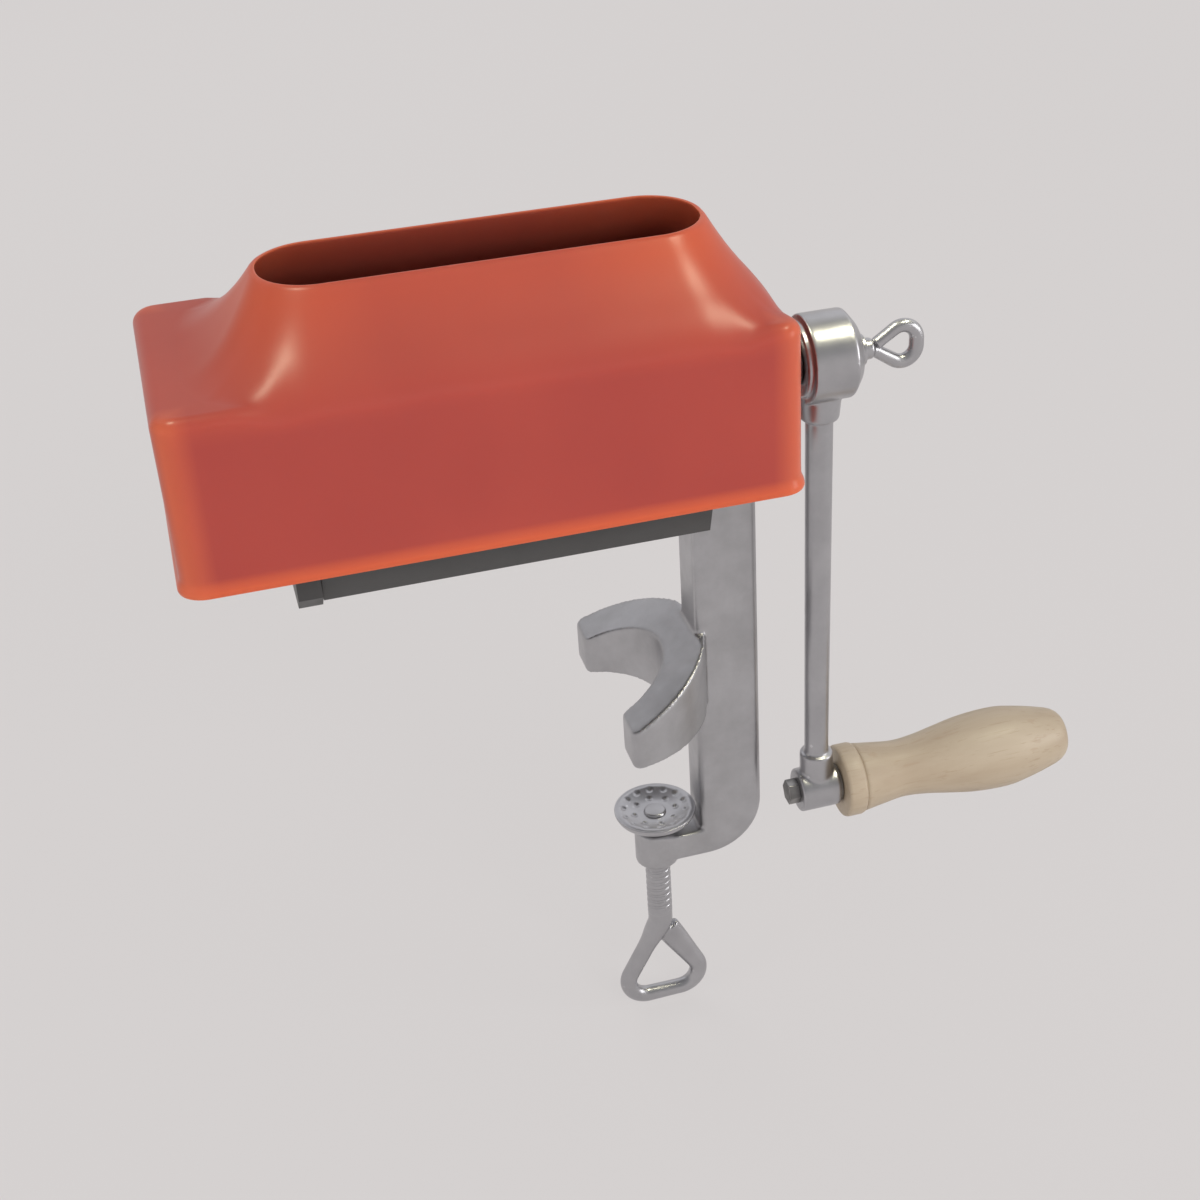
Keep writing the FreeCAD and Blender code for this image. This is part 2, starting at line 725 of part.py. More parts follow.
def comb(name, side, first_blade, blade_count, shaft_y):
    """A stripping comb on two tie rods: rails, web, lower lip and one finger per blade gap."""
    body = new_body(name + "_body")
    start = "left_inner + seat_gap"
    length = "roller_room - 2 * seat_gap"
    rod_y = f"{side} * tie_rod_y"
    web_in = f"{side} * (tie_rod_y - comb_web / 2)"
    web_out = f"{side} * (tie_rod_y + comb_web / 2)"

    web = new_sketch(body, name + "_web", "YZ", start)
    polygon(web, [
        (web_in, "lower_rod_z"),
        (web_out, "lower_rod_z"),
        (web_out, "upper_rod_z"),
        (web_in, "upper_rod_z"),
    ])
    pad(body, web, length)
    for place, height in (("lower", "lower_rod_z"), ("upper", "upper_rod_z")):
        rail = new_sketch(body, f"{name}_{place}_rail", "YZ", start)
        circle(rail, rod_y, height, "comb_rail_radius")
        pad(body, rail, length)
    lip = new_sketch(body, name + "_lip", "YZ", start)
    polygon(lip, [
        (web_out, "lower_rod_z"),
        (f"{side} * (tie_rod_y + comb_web / 2 - comb_lip_thickness)", "lower_rod_z"),
        (f"{side} * comb_lip_in", "comb_lip_low"),
        (f"{side} * (comb_lip_in + comb_lip_thickness)", "comb_lip_low"),
    ])
    pad(body, lip, length)

    finger = new_sketch(body, name + "_finger", "YZ",
                        f"{first_blade} + (blade_pitch - comb_finger) / 2")
    polygon(finger, [
        (web_in, "upper_rod_z"),
        (web_in, "comb_finger_low"),
        (f"{side} * outlet_half_width", "comb_finger_low"),
        (f"{side} * outlet_half_width", "comb_finger_low + comb_finger_tip"),
        (shaft_y, "shaft_height"),
    ])
    prong = pad(body, finger, "comb_finger")
    doc.recompute()
    row = body.newObject("PartDesign::LinearPattern", name + "_fingers")
    row.Originals = [prong]
    row.Direction = (origin_feature(body, "YZ_Plane"), [""])
    row.Mode = "Spacing"
    bind(row, {"Offset": "blade_pitch", "Occurrences": f"{blade_count} - 1"})
    body.Tip = row

    bore = new_sketch(body, name + "_shaft_room", "YZ", "left_inner")
    circle(bore, shaft_y, "shaft_height", "spacer_radius + comb_shaft_gap")
    pocket(body, bore, down=True)
    rods = new_sketch(body, name + "_rod_bores", "YZ", "left_inner")
    for height in ("lower_rod_z", "upper_rod_z"):
        circle(rods, rod_y, height, "tie_rod_radius + running_fit")
    pocket(body, rods, down=True)
    return keep(body, name)


# ---------------------------------------------------------------- rollers and gears

def flat_end(name, blank, radius, start, end, y):
    """Mill a flat along the top of a journal."""
    tool = box(name + "_mill",
               (start, f"{y} - {radius} - cut_past", f"shaft_height + {radius} - journal_flat"),
               (end, f"{y} + {radius} + cut_past", f"shaft_height + {radius} + cut_past"))
    return cut(name + "_flat", blank, tool)


def shaft(name, y, right_radius, right_end):
    square = prism(name + "_square", 4, "shaft_square", "roller_left", "roller_right",
                   y, "shaft_height")
    left = cylinder(name + "_left", "journal_radius", "stud_left", "roller_left",
                    y, "shaft_height")
    right = cylinder(name + "_right", right_radius, "roller_right", right_end,
                     y, "shaft_height")
    blank = joined(name + "_blank", [square, left, right])
    return flat_end(name + "_gear_seat", blank, "journal_radius", "gear_left", "gear_right", y)


def front_shaft():
    blank = shaft("front", "front_y", "drive_journal_radius", "drive_shaft_right")
    seat = flat_end("front_crank_seat", blank, "drive_journal_radius", "hub_left",
                    "drive_shaft_right + cut_past", "front_y")
    tapped = cylinder("front_tapped", "eye_thread_radius + running_fit",
                      "eye_washer_right - eye_thread_length - cut_past",
                      "drive_shaft_right + cut_past",
                      "front_y", "shaft_height")
    keep(cut("front_shaft_cut", seat, tapped), "front_shaft")


def rear_shaft():
    blank = shaft("rear", "rear_y", "journal_radius", "rear_boss_end - rear_shaft_inset")
    keep(blank, "rear_shaft")


def blades(name, first, count, y):
    """Toothed stainless discs with a square hole, one solid each, along the shaft."""
    body = new_body(name + "_body")
    disc = new_sketch(body, name + "_disc", "YZ", f"{first} - blade_thickness / 2")
    circle(disc, "0", "0", "blade_radius")
    hole = "shaft_square / 2 + running_fit"
    polygon(disc, [
        (f"-({hole})", f"-({hole})"),
        (hole, f"-({hole})"),
        (hole, hole),
        (f"-({hole})", hole),
    ])
    pad(body, disc, "blade_thickness")
    gullet = new_sketch(body, name + "_gullet", "YZ", f"{first} - blade_thickness / 2")
    past_tips = "(blade_radius + cut_past) * cos(180 deg / blade_teeth)"
    half_gullet = "(blade_radius + cut_past) * sin(180 deg / blade_teeth) - blade_tooth_land / 2"
    polygon(gullet, [
        ("tooth_root_radius", "0"),
        (past_tips, f"-({half_gullet})"),
        (past_tips, half_gullet),
    ])
    notch = pocket(body, gullet, down=True, length="blade_thickness")
    doc.recompute()
    ring = body.newObject("PartDesign::PolarPattern", name + "_ring")
    ring.Originals = [notch]
    ring.Axis = (origin_feature(body, "X_Axis"), [""])
    ring.Angle = 360
    bind(ring, {"Occurrences": "blade_teeth"})
    body.Tip = ring
    doc.recompute()
    row = body.newObject("PartDesign::LinearPattern", name + "_row")
    row.TransformMode = "Whole shape"
    row.Direction = (origin_feature(body, "YZ_Plane"), [""])
    row.Mode = "Spacing"
    bind(row, {"Offset": "blade_pitch", "Occurrences": count})
    body.Tip = row
    bind(body, {"Placement.Base.y": y, "Placement.Base.z": "shaft_height"})
    return keep(body, name)


def spacers(name, first, count, y):
    """Sleeves on the square shaft that hold the blades at their pitch."""
    half = "blade_thickness / 2"
    spans = [("roller_left", f"{first} - {half}")]
    for step in range(int(value(count)) - 1):
        left = f"{first} + {step} * blade_pitch + {half}"
        spans.append((left, f"{left} + spacer_length"))
    last = f"{first} + ({count} - 1) * blade_pitch + {half}"
    spans.append((last, "roller_right"))
    sleeves = []
    for step, (start, end) in enumerate(spans):
        outer = cylinder(f"{name}_{step}_outer", "spacer_radius", start, end, y, "shaft_height")
        hole = prism(f"{name}_{step}_hole", 4, "shaft_square + 2 * running_fit",
                     start, end, y, "shaft_height")
        sleeves.append(cut(f"{name}_{step}", outer, hole))
    keep(grouped(name + "_group", sleeves), name)


def gear_outline(teeth, module, backlash):
    """Closed wire of an involute spur gear in the YZ plane, with a tooth centred on +Y."""
    pressure = math.radians(20)
    pitch_radius = module * teeth / 2
    base_radius = pitch_radius * math.cos(pressure)
    tip_radius = pitch_radius + module
    root_radius = pitch_radius - 1.25 * module
    half_tooth = math.pi / (2 * teeth) - backlash / (2 * pitch_radius)
    involute = math.tan(pressure) - pressure

    def flank_angle(radius):
        if radius <= base_radius:
            return half_tooth + involute
        roll = math.acos(base_radius / radius)
        return half_tooth + involute - (math.tan(roll) - roll)

    def spot(radius, angle):
        return FreeCAD.Vector(0, radius * math.cos(angle), radius * math.sin(angle))

    edges = []
    step = 2 * math.pi / teeth
    middle_radius = (base_radius + tip_radius) / 2
    for tooth in range(teeth):
        centre = tooth * step
        root, base = flank_angle(root_radius), flank_angle(base_radius)
        middle, tip = flank_angle(middle_radius), flank_angle(tip_radius)
        next_root = centre + step - root
        edges.append(Part.LineSegment(spot(root_radius, centre - root),
                                      spot(base_radius, centre - base)))
        edges.append(Part.Arc(spot(base_radius, centre - base), spot(middle_radius, centre - middle),
                              spot(tip_radius, centre - tip)))
        edges.append(Part.Arc(spot(tip_radius, centre - tip), spot(tip_radius, centre),
                              spot(tip_radius, centre + tip)))
        edges.append(Part.Arc(spot(tip_radius, centre + tip), spot(middle_radius, centre + middle),
                              spot(base_radius, centre + base)))
        edges.append(Part.LineSegment(spot(base_radius, centre + base),
                                      spot(root_radius, centre + root)))
        edges.append(Part.Arc(spot(root_radius, centre + root),
                              spot(root_radius, centre + step / 2),
                              spot(root_radius, next_root)))
    return Part.Wire([edge.toShape() for edge in edges])


def gear(name, y):
    """A moulded spur gear with a hub step on its inner face and a bore with a flat."""
    module = value("shaft_spacing / gear_teeth")
    wire = gear_outline(int(value("gear_teeth")), module, value("gear_backlash"))
    along = FreeCAD.Vector(1, 0, 0)
    teeth = Part.Face(wire).extrude(along * value("gear_width"))
    hub = Part.makeCylinder(value("gear_hub_radius"), value("gear_width + gear_hub_step"),
                            FreeCAD.Vector(), along)
    bore_radius = value("journal_radius + running_fit")
    length = value("gear_width + gear_hub_step")
    bore = Part.makeCylinder(bore_radius, length, FreeCAD.Vector(), along)
    flat = Part.makeBox(length, 2 * bore_radius, bore_radius,
                        FreeCAD.Vector(0, -bore_radius, value("journal_radius - journal_flat")))
    blank = doc.addObject("Part::Feature", name + "_gear")
    blank.Shape = teeth.fuse(hub).cut(bore.cut(flat)).removeSplitter()
    bind(blank, {
        "Placement.Base.x": "gear_left",
        "Placement.Base.y": y,
        "Placement.Base.z": "shaft_height",
    })
    keep(blank, name)


def shaft_nut(name, y):
    washer = cylinder(name + "_washer_disc", "washer_radius", "washer_left", "gear_left",
                      y, "shaft_height")
    hole = cylinder(name + "_washer_hole", "journal_radius + running_fit", "washer_left",
                    "gear_left", y, "shaft_height")
    keep(cut(name + "_washer_cut", washer, hole), name + "_gear_washer")
    blank = prism(name + "_nut_hex", 6, "nut_across_flats", "nut_left", "washer_left",
                  y, "shaft_height")
    thread = cylinder(name + "_nut_thread", "journal_radius + running_fit", "nut_left",
                      "washer_left", y, "shaft_height")
    keep(cut(name + "_nut_cut", blank, thread), name + "_gear_nut")


# ---------------------------------------------------------------- hopper cover

def hopper_cover():
    """Moulded cover: straight skirt with a beaded edge, and a tapered feed chute on top."""
    body = new_body("hopper_cover_body")
    skirt = new_sketch(body, "skirt", "XY", "skirt_low")
    rounded_rectangle(skirt, "cover_left", "-cover_half", "cover_right", "cover_half",
                      "skirt_corner")
    block = pad(body, skirt, "skirt_height")
    top = value("skirt_top")
    rounded(body, block, "skirt_top_round", lambda edge, middle: abs(middle.z - top) < 1e-3)
    bead = new_sketch(body, "bead", "XY", "skirt_low")
    rounded_rectangle(bead, "cover_left - bead_out", "-cover_half - bead_out",
                      "cover_right + bead_out", "cover_half + bead_out",
                      "skirt_corner + bead_out")
    pad(body, bead, "bead_height")

    chute_outline = {
        "base": ("cover_left + chute_base_left", "cover_right - chute_base_right",
                 "cover_half - chute_base_side", "chute_base_corner"),
        "lip": ("cover_left + chute_lip_left", "cover_right - chute_lip_right",
                "chute_lip_width / 2", "chute_lip_corner"),
    }

    def chute_section(name, key, height, inset):
        left, right, half, corner = chute_outline[key]
        section = new_sketch(body, name, "XY", height)
        rounded_rectangle(section, f"{left} + {inset}", f"-({half} - {inset})",
                          f"{right} - {inset}", f"{half} - {inset}", f"{corner} - {inset}")
        return section

    loft(body, [chute_section("chute_base", "base", "skirt_top", "0"),
                chute_section("chute_lip", "lip", "chute_top", "0")], "Additive")
    room = new_sketch(body, "skirt_room", "XY", "skirt_low")
    rounded_rectangle(room, "cover_left + cover_wall", "-cover_half + cover_wall",
                      "cover_right - cover_wall", "cover_half - cover_wall",
                      "skirt_corner - cover_wall")
    pocket(body, room, down=True, length="skirt_height - cover_wall")
    loft(body, [chute_section("chute_room_base", "base", "ceiling", "cover_wall"),
                chute_section("chute_room_lip", "lip", "chute_top", "cover_wall")],
         "Subtractive")

    for name, across, radius in (("front_slot", "front_y", "front_boss_radius + seat_gap"),
                                 ("rear_slot", "rear_y", "rear_boss_radius + seat_gap")):
        slot = new_sketch(body, name, "YZ", "leg_right")
        polygon(slot, [
            (f"{across} - ({radius})", "skirt_low - cut_past"),
            (f"{across} + ({radius})", "skirt_low - cut_past"),
            (f"{across} + ({radius})", "shaft_height"),
            (f"{across} - ({radius})", "shaft_height"),
        ])
        pocket(body, slot, down=True)
        arch = new_sketch(body, name + "_arch", "YZ", "leg_right")
        circle(arch, across, "shaft_height", radius)
        pocket(body, arch, down=True)
    return keep(body, "hopper_cover")


# ---------------------------------------------------------------- crank

def crank_arm():
    """Hub with a domed nose, tapered round rod, and the lower boss that takes the handle."""
    body = new_body("crank_arm_body")
    hub = new_sketch(body, "hub_profile", "XZ")
    polygon(hub, [
        ("hub_left", "0"),
        ("hub_left", "hub_collar_radius"),
        ("hub_left + hub_collar_length", "hub_collar_radius"),
        ("hub_left + hub_collar_length", "hub_radius"),
        ("hub_right", "hub_radius"),
        ("hub_right + hub_dome_break", "hub_dome_break_radius"),
        ("hub_nose", "hub_nose_radius"),
        ("hub_nose", "0"),
    ])
    spun = body.newObject("PartDesign::Revolution", "hub_turned")
    spun.Profile = hub
    spun.ReferenceAxis = (origin_feature(body, "X_Axis"), [""])
    spun.Angle = 360

    top = new_sketch(body, "rod_top", "XY", "rod_root - hub_radius")
    circle(top, "rod_x", "0", "rod_top_radius")
    bottom = new_sketch(body, "rod_bottom", "XY", "low_boss_radius - rod_root - crank_radius")
    circle(bottom, "rod_low_x", "0", "rod_low_radius")
    loft(body, [top, bottom], "Additive")

    collar = new_sketch(body, "low_collar", "XY", "-crank_radius")
    circle(collar, "rod_low_x", "0", "low_collar_radius")
    pad(body, collar, "low_boss_radius + low_collar_height")
    boss = new_sketch(body, "low_boss", "YZ", "hub_left")
    circle(boss, "0", "-crank_radius", "low_boss_radius")
    pad(body, boss, "low_boss_length")

    shaft_hole = new_sketch(body, "crank_bore", "YZ", "hub_left")
    circle(shaft_hole, "0", "0", "drive_journal_radius + running_fit")
    pocket(body, shaft_hole, down=True, length="crank_end_in_hub")
    screw_hole = new_sketch(body, "eye_screw_hole", "YZ", "hub_left")
    circle(screw_hole, "0", "0", "eye_thread_radius + running_fit")
    pocket(body, screw_hole, down=True)
    bolt_hole = new_sketch(body, "handle_bolt_hole", "YZ", "hub_left")
    circle(bolt_hole, "0", "-crank_radius", "handle_bolt_radius + running_fit")
    pocket(body, bolt_hole, down=True)
    bind(body, {"Placement.Base.y": "front_y", "Placement.Base.z": "shaft_height"})

    flat = box("crank_flat", ("hub_left", "front_y - drive_journal_radius",
                              "shaft_height + drive_journal_radius - journal_flat + running_fit"),
               ("hub_left + crank_end_in_hub", "front_y + drive_journal_radius",
                "shaft_height + drive_journal_radius + running_fit"))
    keep(joined("crank_arm_joined", [body, flat]), "crank_arm")


def rounded_wire(corners, bends):
    """A wire of straight runs and tangent arcs; bends holds one radius per inner corner."""
    edges = []
    start = corners[0]
    for before, corner, after, radius in zip(corners, corners[1:], corners[2:], bends):
        back = (before - corner).normalize()
        ahead = (after - corner).normalize()
        half = back.getAngle(ahead) / 2
        reach = radius / math.tan(half)
        first, last = corner + back * reach, corner + ahead * reach
        inward = (back + ahead).normalize()
        middle = corner + inward * (radius / math.sin(half) - radius)
        edges.append(Part.LineSegment(start, first).toShape())
        edges.append(Part.Arc(first, middle, last).toShape())
        start = last
    edges.append(Part.LineSegment(start, corners[-1]).toShape())
    return Part.Wire(edges)


def bent_eye(wire_radius, neck, width, length, bend, direction, across):
    """A rod bent into a rounded triangular eye whose free end comes back to the neck.

    The eye starts at neck, grows along direction and lies in the plane of direction and across.
    """
    far = length - wire_radius
    half = width / 2 - wire_radius
    side = half
    for _ in range(EYE_ROUNDS):
        side = half + bend * (1 / math.tan(math.atan2(far, side) / 2) - 1)
    limb = math.hypot(side, far)
    apart = wire_radius * (1 + math.cos(2 * math.atan2(side, far))) + value("seat_gap")
    end = apart * limb / (2 * side * far)
    places = [(0, -bend), (0, 0), (-side, far), (side, far), (side * end, far * end)]
    corners = [neck + across * x + direction * y for x, y in places]
    path = rounded_wire(corners, [bend, bend, bend])
    start = Part.Wire(Part.Circle(corners[0], direction, wire_radius).toShape())
    return path.makePipeShell([start], True, False)


def eye_screw():
    """Axial screw that holds the crank on the shaft, with an eye for the fingers."""
    along = FreeCAD.Vector(1, 0, 0)
    start = value("eye_washer_right")
    thread = Part.makeCylinder(value("eye_thread_radius"), value("eye_thread_length"),
                               FreeCAD.Vector(start - value("eye_thread_length"), 0, 0), along)
    neck_end = start + value("eye_neck_length")
    neck = Part.makeCylinder(value("eye_neck_radius"), value("eye_neck_length"),
                             FreeCAD.Vector(start, 0, 0), along)
    eye = bent_eye(value("eye_wire_radius"), FreeCAD.Vector(neck_end, 0, 0),
                   value("eye_width"), value("eye_length"), value("eye_bend"),
                   along, FreeCAD.Vector(0, 0, 1))
    piece = doc.addObject("Part::Feature", "eye_screw_solid")
    piece.Shape = thread.fuse([neck, eye]).removeSplitter()
    bind(piece, {"Placement.Base.y": "front_y", "Placement.Base.z": "shaft_height"})
    keep(piece, "eye_screw")

    disc = cylinder("eye_washer_disc", "eye_washer_radius", "hub_nose", "eye_washer_right",
                    "front_y", "shaft_height")
    hole = cylinder("eye_washer_hole", "eye_thread_radius + running_fit", "hub_nose",
                    "eye_washer_right", "front_y", "shaft_height")
    keep(cut("eye_washer_cut", disc, hole), "eye_screw_washer")


def handle():
    """Turned beech grip with a flange, a neck and a swelling belly."""
    length, crown = value("handle_length"), value("handle_end_crown")
    flange, edge = value("handle_flange_radius"), value("handle_flange_edge")
    groove_at, groove = value("handle_flange_length"), value("handle_groove")
    neck, neck_at = value("handle_neck_radius"), value("handle_neck_at")
    belly, belly_at = value("handle_belly_radius"), value("handle_belly_at")
    shoulder, shoulder_at = value("handle_shoulder_radius"), value("handle_length - handle_end_round")
    tip = value("handle_end_radius")

    def spot(x, radius):
        return FreeCAD.Vector(x, 0, radius)

    grip = Part.BSplineCurve()
    grip.interpolate([
        spot(groove_at + groove, flange - groove),
        spot(neck_at, neck),
        spot((neck_at + belly_at) / 2, (neck + belly) / 2),
        spot(belly_at, belly),
        spot((belly_at + shoulder_at) / 2, value("handle_taper_radius")),
        spot(shoulder_at, shoulder),
    ])
    start = [spot(0, 0), spot(0, flange - edge), spot(edge, flange), spot(groove_at - groove, flange),
             spot(groove_at, flange - groove * 2), spot(groove_at + groove, flange - groove)]
    rim = spot(length, tip)
    chord = rim - spot(shoulder_at, shoulder)
    outward = FreeCAD.Vector(-chord.z, 0, chord.x).normalize()
    crest = (rim + spot(shoulder_at, shoulder)) * 0.5 + outward * crown
    edges = [Part.LineSegment(first, last).toShape() for first, last in zip(start, start[1:])]
    edges.append(grip.toShape())
    edges.append(Part.Arc(spot(shoulder_at, shoulder), crest, rim).toShape())
    edges.append(Part.LineSegment(rim, spot(length, 0)).toShape())
    edges.append(Part.LineSegment(spot(length, 0), spot(0, 0)).toShape())
    along = FreeCAD.Vector(1, 0, 0)
    blank = Part.Face(Part.Wire(edges)).revolve(FreeCAD.Vector(), along, 360)
    bore = Part.makeCylinder(value("handle_bolt_radius + running_fit"), length,
                             FreeCAD.Vector(), along)
    depth = value("handle_head_depth")
    recess = Part.makeCylinder(value("handle_head_radius + running_fit"), depth,
                               FreeCAD.Vector(length - depth, 0, 0), along)
    piece = doc.addObject("Part::Feature", "handle_solid")
    piece.Shape = blank.cut([bore, recess])
    bind(piece, {
        "Placement.Base.x": "handle_left",
        "Placement.Base.y": "front_y",
        "Placement.Base.z": "handle_axis_z",
    })
    keep(piece, "handle")


def handle_bolt():
    """Bolt that the handle turns on, its washer, and the nut behind the crank's lower boss."""
    head_left = "handle_right - handle_head_depth + seat_gap"
    y, z = "front_y", "handle_axis_z"
    shank = cylinder("handle_bolt_shank", "handle_bolt_radius", "hub_left - handle_nut_height",
                     head_left, y, z)
    head = cylinder("handle_bolt_head", "handle_head_radius", head_left,
                    f"{head_left} + handle_head_height", y, z)
    face = f"{head_left} + handle_head_height"
    slot = box("handle_bolt_slot",
               (f"{face} - handle_slot_depth", f"{y} - handle_slot_width / 2",
                f"{z} - handle_head_radius - cut_past"),
               (f"{face} + cut_past", f"{y} + handle_slot_width / 2",
                f"{z} + handle_head_radius + cut_past"))
    keep(cut("handle_bolt_cut", joined("handle_bolt_blank", [shank, head]), slot), "handle_bolt")
    disc = cylinder("handle_washer_disc", "handle_washer_radius", "low_boss_right",
                    "low_boss_right + handle_washer_thickness", y, z)
    hole = cylinder("handle_washer_hole", "handle_bolt_radius + running_fit", "low_boss_right",
                    "low_boss_right + handle_washer_thickness", y, z)
    keep(cut("handle_washer_cut", disc, hole), "handle_washer")
    blank = prism("handle_nut_hex", 6, "handle_nut_across_flats",
                  "hub_left - handle_nut_height", "hub_left", y, z)
    thread = cylinder("handle_nut_thread", "handle_bolt_radius + running_fit",
                      "hub_left - handle_nut_height", "hub_left", y, z)
    keep(cut("handle_nut_cut", blank, thread), "handle_nut")


# ---------------------------------------------------------------- clamp

def clamp_screw():
    """Round screw with a riveted tip above and its lower end bent into a triangular loop."""
    axis_x = value("clamp_axis")
    up = FreeCAD.Vector(0, 0, 1)

    def bar(radius, low, high):
        return Part.makeCylinder(radius, high - low, FreeCAD.Vector(0, 0, low), up)

    shoulder = value("pad_low")
    tip_base = value("dish_floor + running_fit")
    tip_top = tip_base + value("clamp_tip_head_height")
    stem_low = value("clamp_stem_low")
    stem = bar(value("clamp_screw_radius"), stem_low, shoulder)
    tip = bar(value("clamp_tip_radius"), shoulder, tip_top)
    head = bar(value("clamp_tip_head_radius"), tip_base, tip_top)
    loop = bent_eye(value("clamp_loop_wire_radius"), FreeCAD.Vector(0, 0, stem_low),
                    value("clamp_loop_width"), value("clamp_loop_length"),
                    value("clamp_loop_bend"), FreeCAD.Vector(0, 0, -1),
                    FreeCAD.Vector(1, 0, 0))
    piece = doc.addObject("Part::Feature", "clamp_screw_solid")
    piece.Shape = stem.fuse([tip, head, loop]).removeSplitter()
    piece.Placement = FreeCAD.Placement(FreeCAD.Vector(axis_x, 0, 0), FreeCAD.Rotation())
    bind(piece, {"Placement.Base.x": "clamp_axis"})
    keep(piece, "clamp_screw")


def pressure_pad():
    """Dished disc that presses on the table's underside; it doesn't turn with the screw."""
    body = new_body("pressure_pad_body")
    profile = new_sketch(body, "pad_profile", "XZ")
    inner = "clamp_tip_radius + running_fit"
    polygon(profile, [
        (inner, "pad_low"),
        ("clamp_pad_neck_radius", "pad_low"),
        ("clamp_pad_neck_radius", "pad_low + clamp_pad_neck"),
        ("clamp_pad_radius - clamp_pad_edge", "pad_low + clamp_pad_neck"),
        ("clamp_pad_radius", "clamp_pad_top - clamp_pad_edge"),
        ("clamp_pad_radius", "clamp_pad_top"),
        ("clamp_pad_radius - clamp_pad_land", "clamp_pad_top"),
        ("clamp_pad_neck_radius", "dish_floor"),
        (inner, "dish_floor"),
    ])
    spun = body.newObject("PartDesign::Revolution", "pad_turned")
    spun.Profile = profile
    spun.ReferenceAxis = (origin_feature(body, "Z_Axis"), [""])
    spun.Angle = 360
    bind(body, {"Placement.Base.x": "clamp_axis"})
    keep(body, "pressure_pad")


# ---------------------------------------------------------------- assembly

def build():
    frame_casting()
    left_end_plate()
    tie_rods()
    tie_rod_screws()
    bushes()
    comb("front_comb", -1, "front_first_blade", "front_blade_count", "front_y")
    comb("rear_comb", 1, "rear_first_blade", "rear_blade_count", "rear_y")
    front_shaft()
    rear_shaft()
    blades("front_blades", "front_first_blade", "front_blade_count", "front_y")
    blades("rear_blades", "rear_first_blade", "rear_blade_count", "rear_y")
    spacers("front_spacers", "front_first_blade", "front_blade_count", "front_y")
    spacers("rear_spacers", "rear_first_blade", "rear_blade_count", "rear_y")
    gear("drive_gear", "front_y")
    gear("driven_gear", "rear_y")
    shaft_nut("front", "front_y")
    shaft_nut("rear", "rear_y")
    hopper_cover()
    crank_arm()
    eye_screw()
    handle()
    handle_bolt()
    clamp_screw()
    pressure_pad()


def check():
    for item in doc.Objects:
        if "Invalid" in item.State or "Error" in item.State:
            raise RuntimeError(f"{item.Name} failed: {item.State}")
    for piece in PIECES:
        if piece.Shape.isNull() or not piece.Shape.isValid():
            raise RuntimeError(f"{piece.Label} has no valid shape")


def export():
    os.makedirs("parts", exist_ok=True)
    for piece in PIECES:
        piece.Shape.exportStep(os.path.join("parts", piece.Label + ".step"))
        solids = len(piece.Shape.Solids)
        print(f"{piece.Label}: {solids} solid(s), {piece.Shape.Volume / 1000:.2f} cm3")


build()
doc.recompute()
check()
export()
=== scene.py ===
import json
import math

import bmesh
import bpy
from mathutils import Matrix, Vector

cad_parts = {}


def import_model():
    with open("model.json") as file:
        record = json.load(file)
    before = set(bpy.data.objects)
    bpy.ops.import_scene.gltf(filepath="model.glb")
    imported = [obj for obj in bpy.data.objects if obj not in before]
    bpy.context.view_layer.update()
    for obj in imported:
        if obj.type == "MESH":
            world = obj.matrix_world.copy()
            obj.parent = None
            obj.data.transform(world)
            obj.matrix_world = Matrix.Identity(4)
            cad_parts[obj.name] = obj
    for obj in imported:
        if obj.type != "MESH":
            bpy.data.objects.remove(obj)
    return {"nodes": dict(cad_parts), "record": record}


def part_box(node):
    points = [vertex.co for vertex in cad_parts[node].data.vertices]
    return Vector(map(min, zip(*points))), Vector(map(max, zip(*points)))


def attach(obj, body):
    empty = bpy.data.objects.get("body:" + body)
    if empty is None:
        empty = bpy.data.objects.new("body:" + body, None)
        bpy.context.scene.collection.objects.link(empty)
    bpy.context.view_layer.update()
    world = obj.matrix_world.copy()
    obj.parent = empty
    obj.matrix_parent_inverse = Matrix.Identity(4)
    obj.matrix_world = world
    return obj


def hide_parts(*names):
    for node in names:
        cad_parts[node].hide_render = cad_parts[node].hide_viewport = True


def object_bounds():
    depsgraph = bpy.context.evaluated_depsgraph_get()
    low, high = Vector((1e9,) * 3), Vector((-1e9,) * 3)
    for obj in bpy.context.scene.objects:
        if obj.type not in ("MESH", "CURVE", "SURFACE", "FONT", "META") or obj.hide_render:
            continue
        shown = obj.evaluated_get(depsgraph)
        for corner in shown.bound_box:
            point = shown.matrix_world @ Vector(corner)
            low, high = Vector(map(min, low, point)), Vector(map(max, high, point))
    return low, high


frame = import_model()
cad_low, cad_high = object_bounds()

# Looks of the hand-cranked meat tenderizer.  Sizes are in millimetres and scaled by MM; places
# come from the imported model's own boxes.  +X points towards the crank, +Y away from the person
# who cranks, +Z up.

MM = 0.001
ROLLER_Y, ROLLER_Z = 19.0, 139.5    # the two roller axes run along X, at minus and plus ROLLER_Y
BEAD = 1.2                          # how far the cover's rolled edge stands out from its wall
PALE = (0.664, 0.637, 0.632)        # the floor and the backdrop

NODES = frame["nodes"]
BODY_OF = {node: body for body, members in frame["record"]["behaviour"]["bodies"].items()
           for node in members}

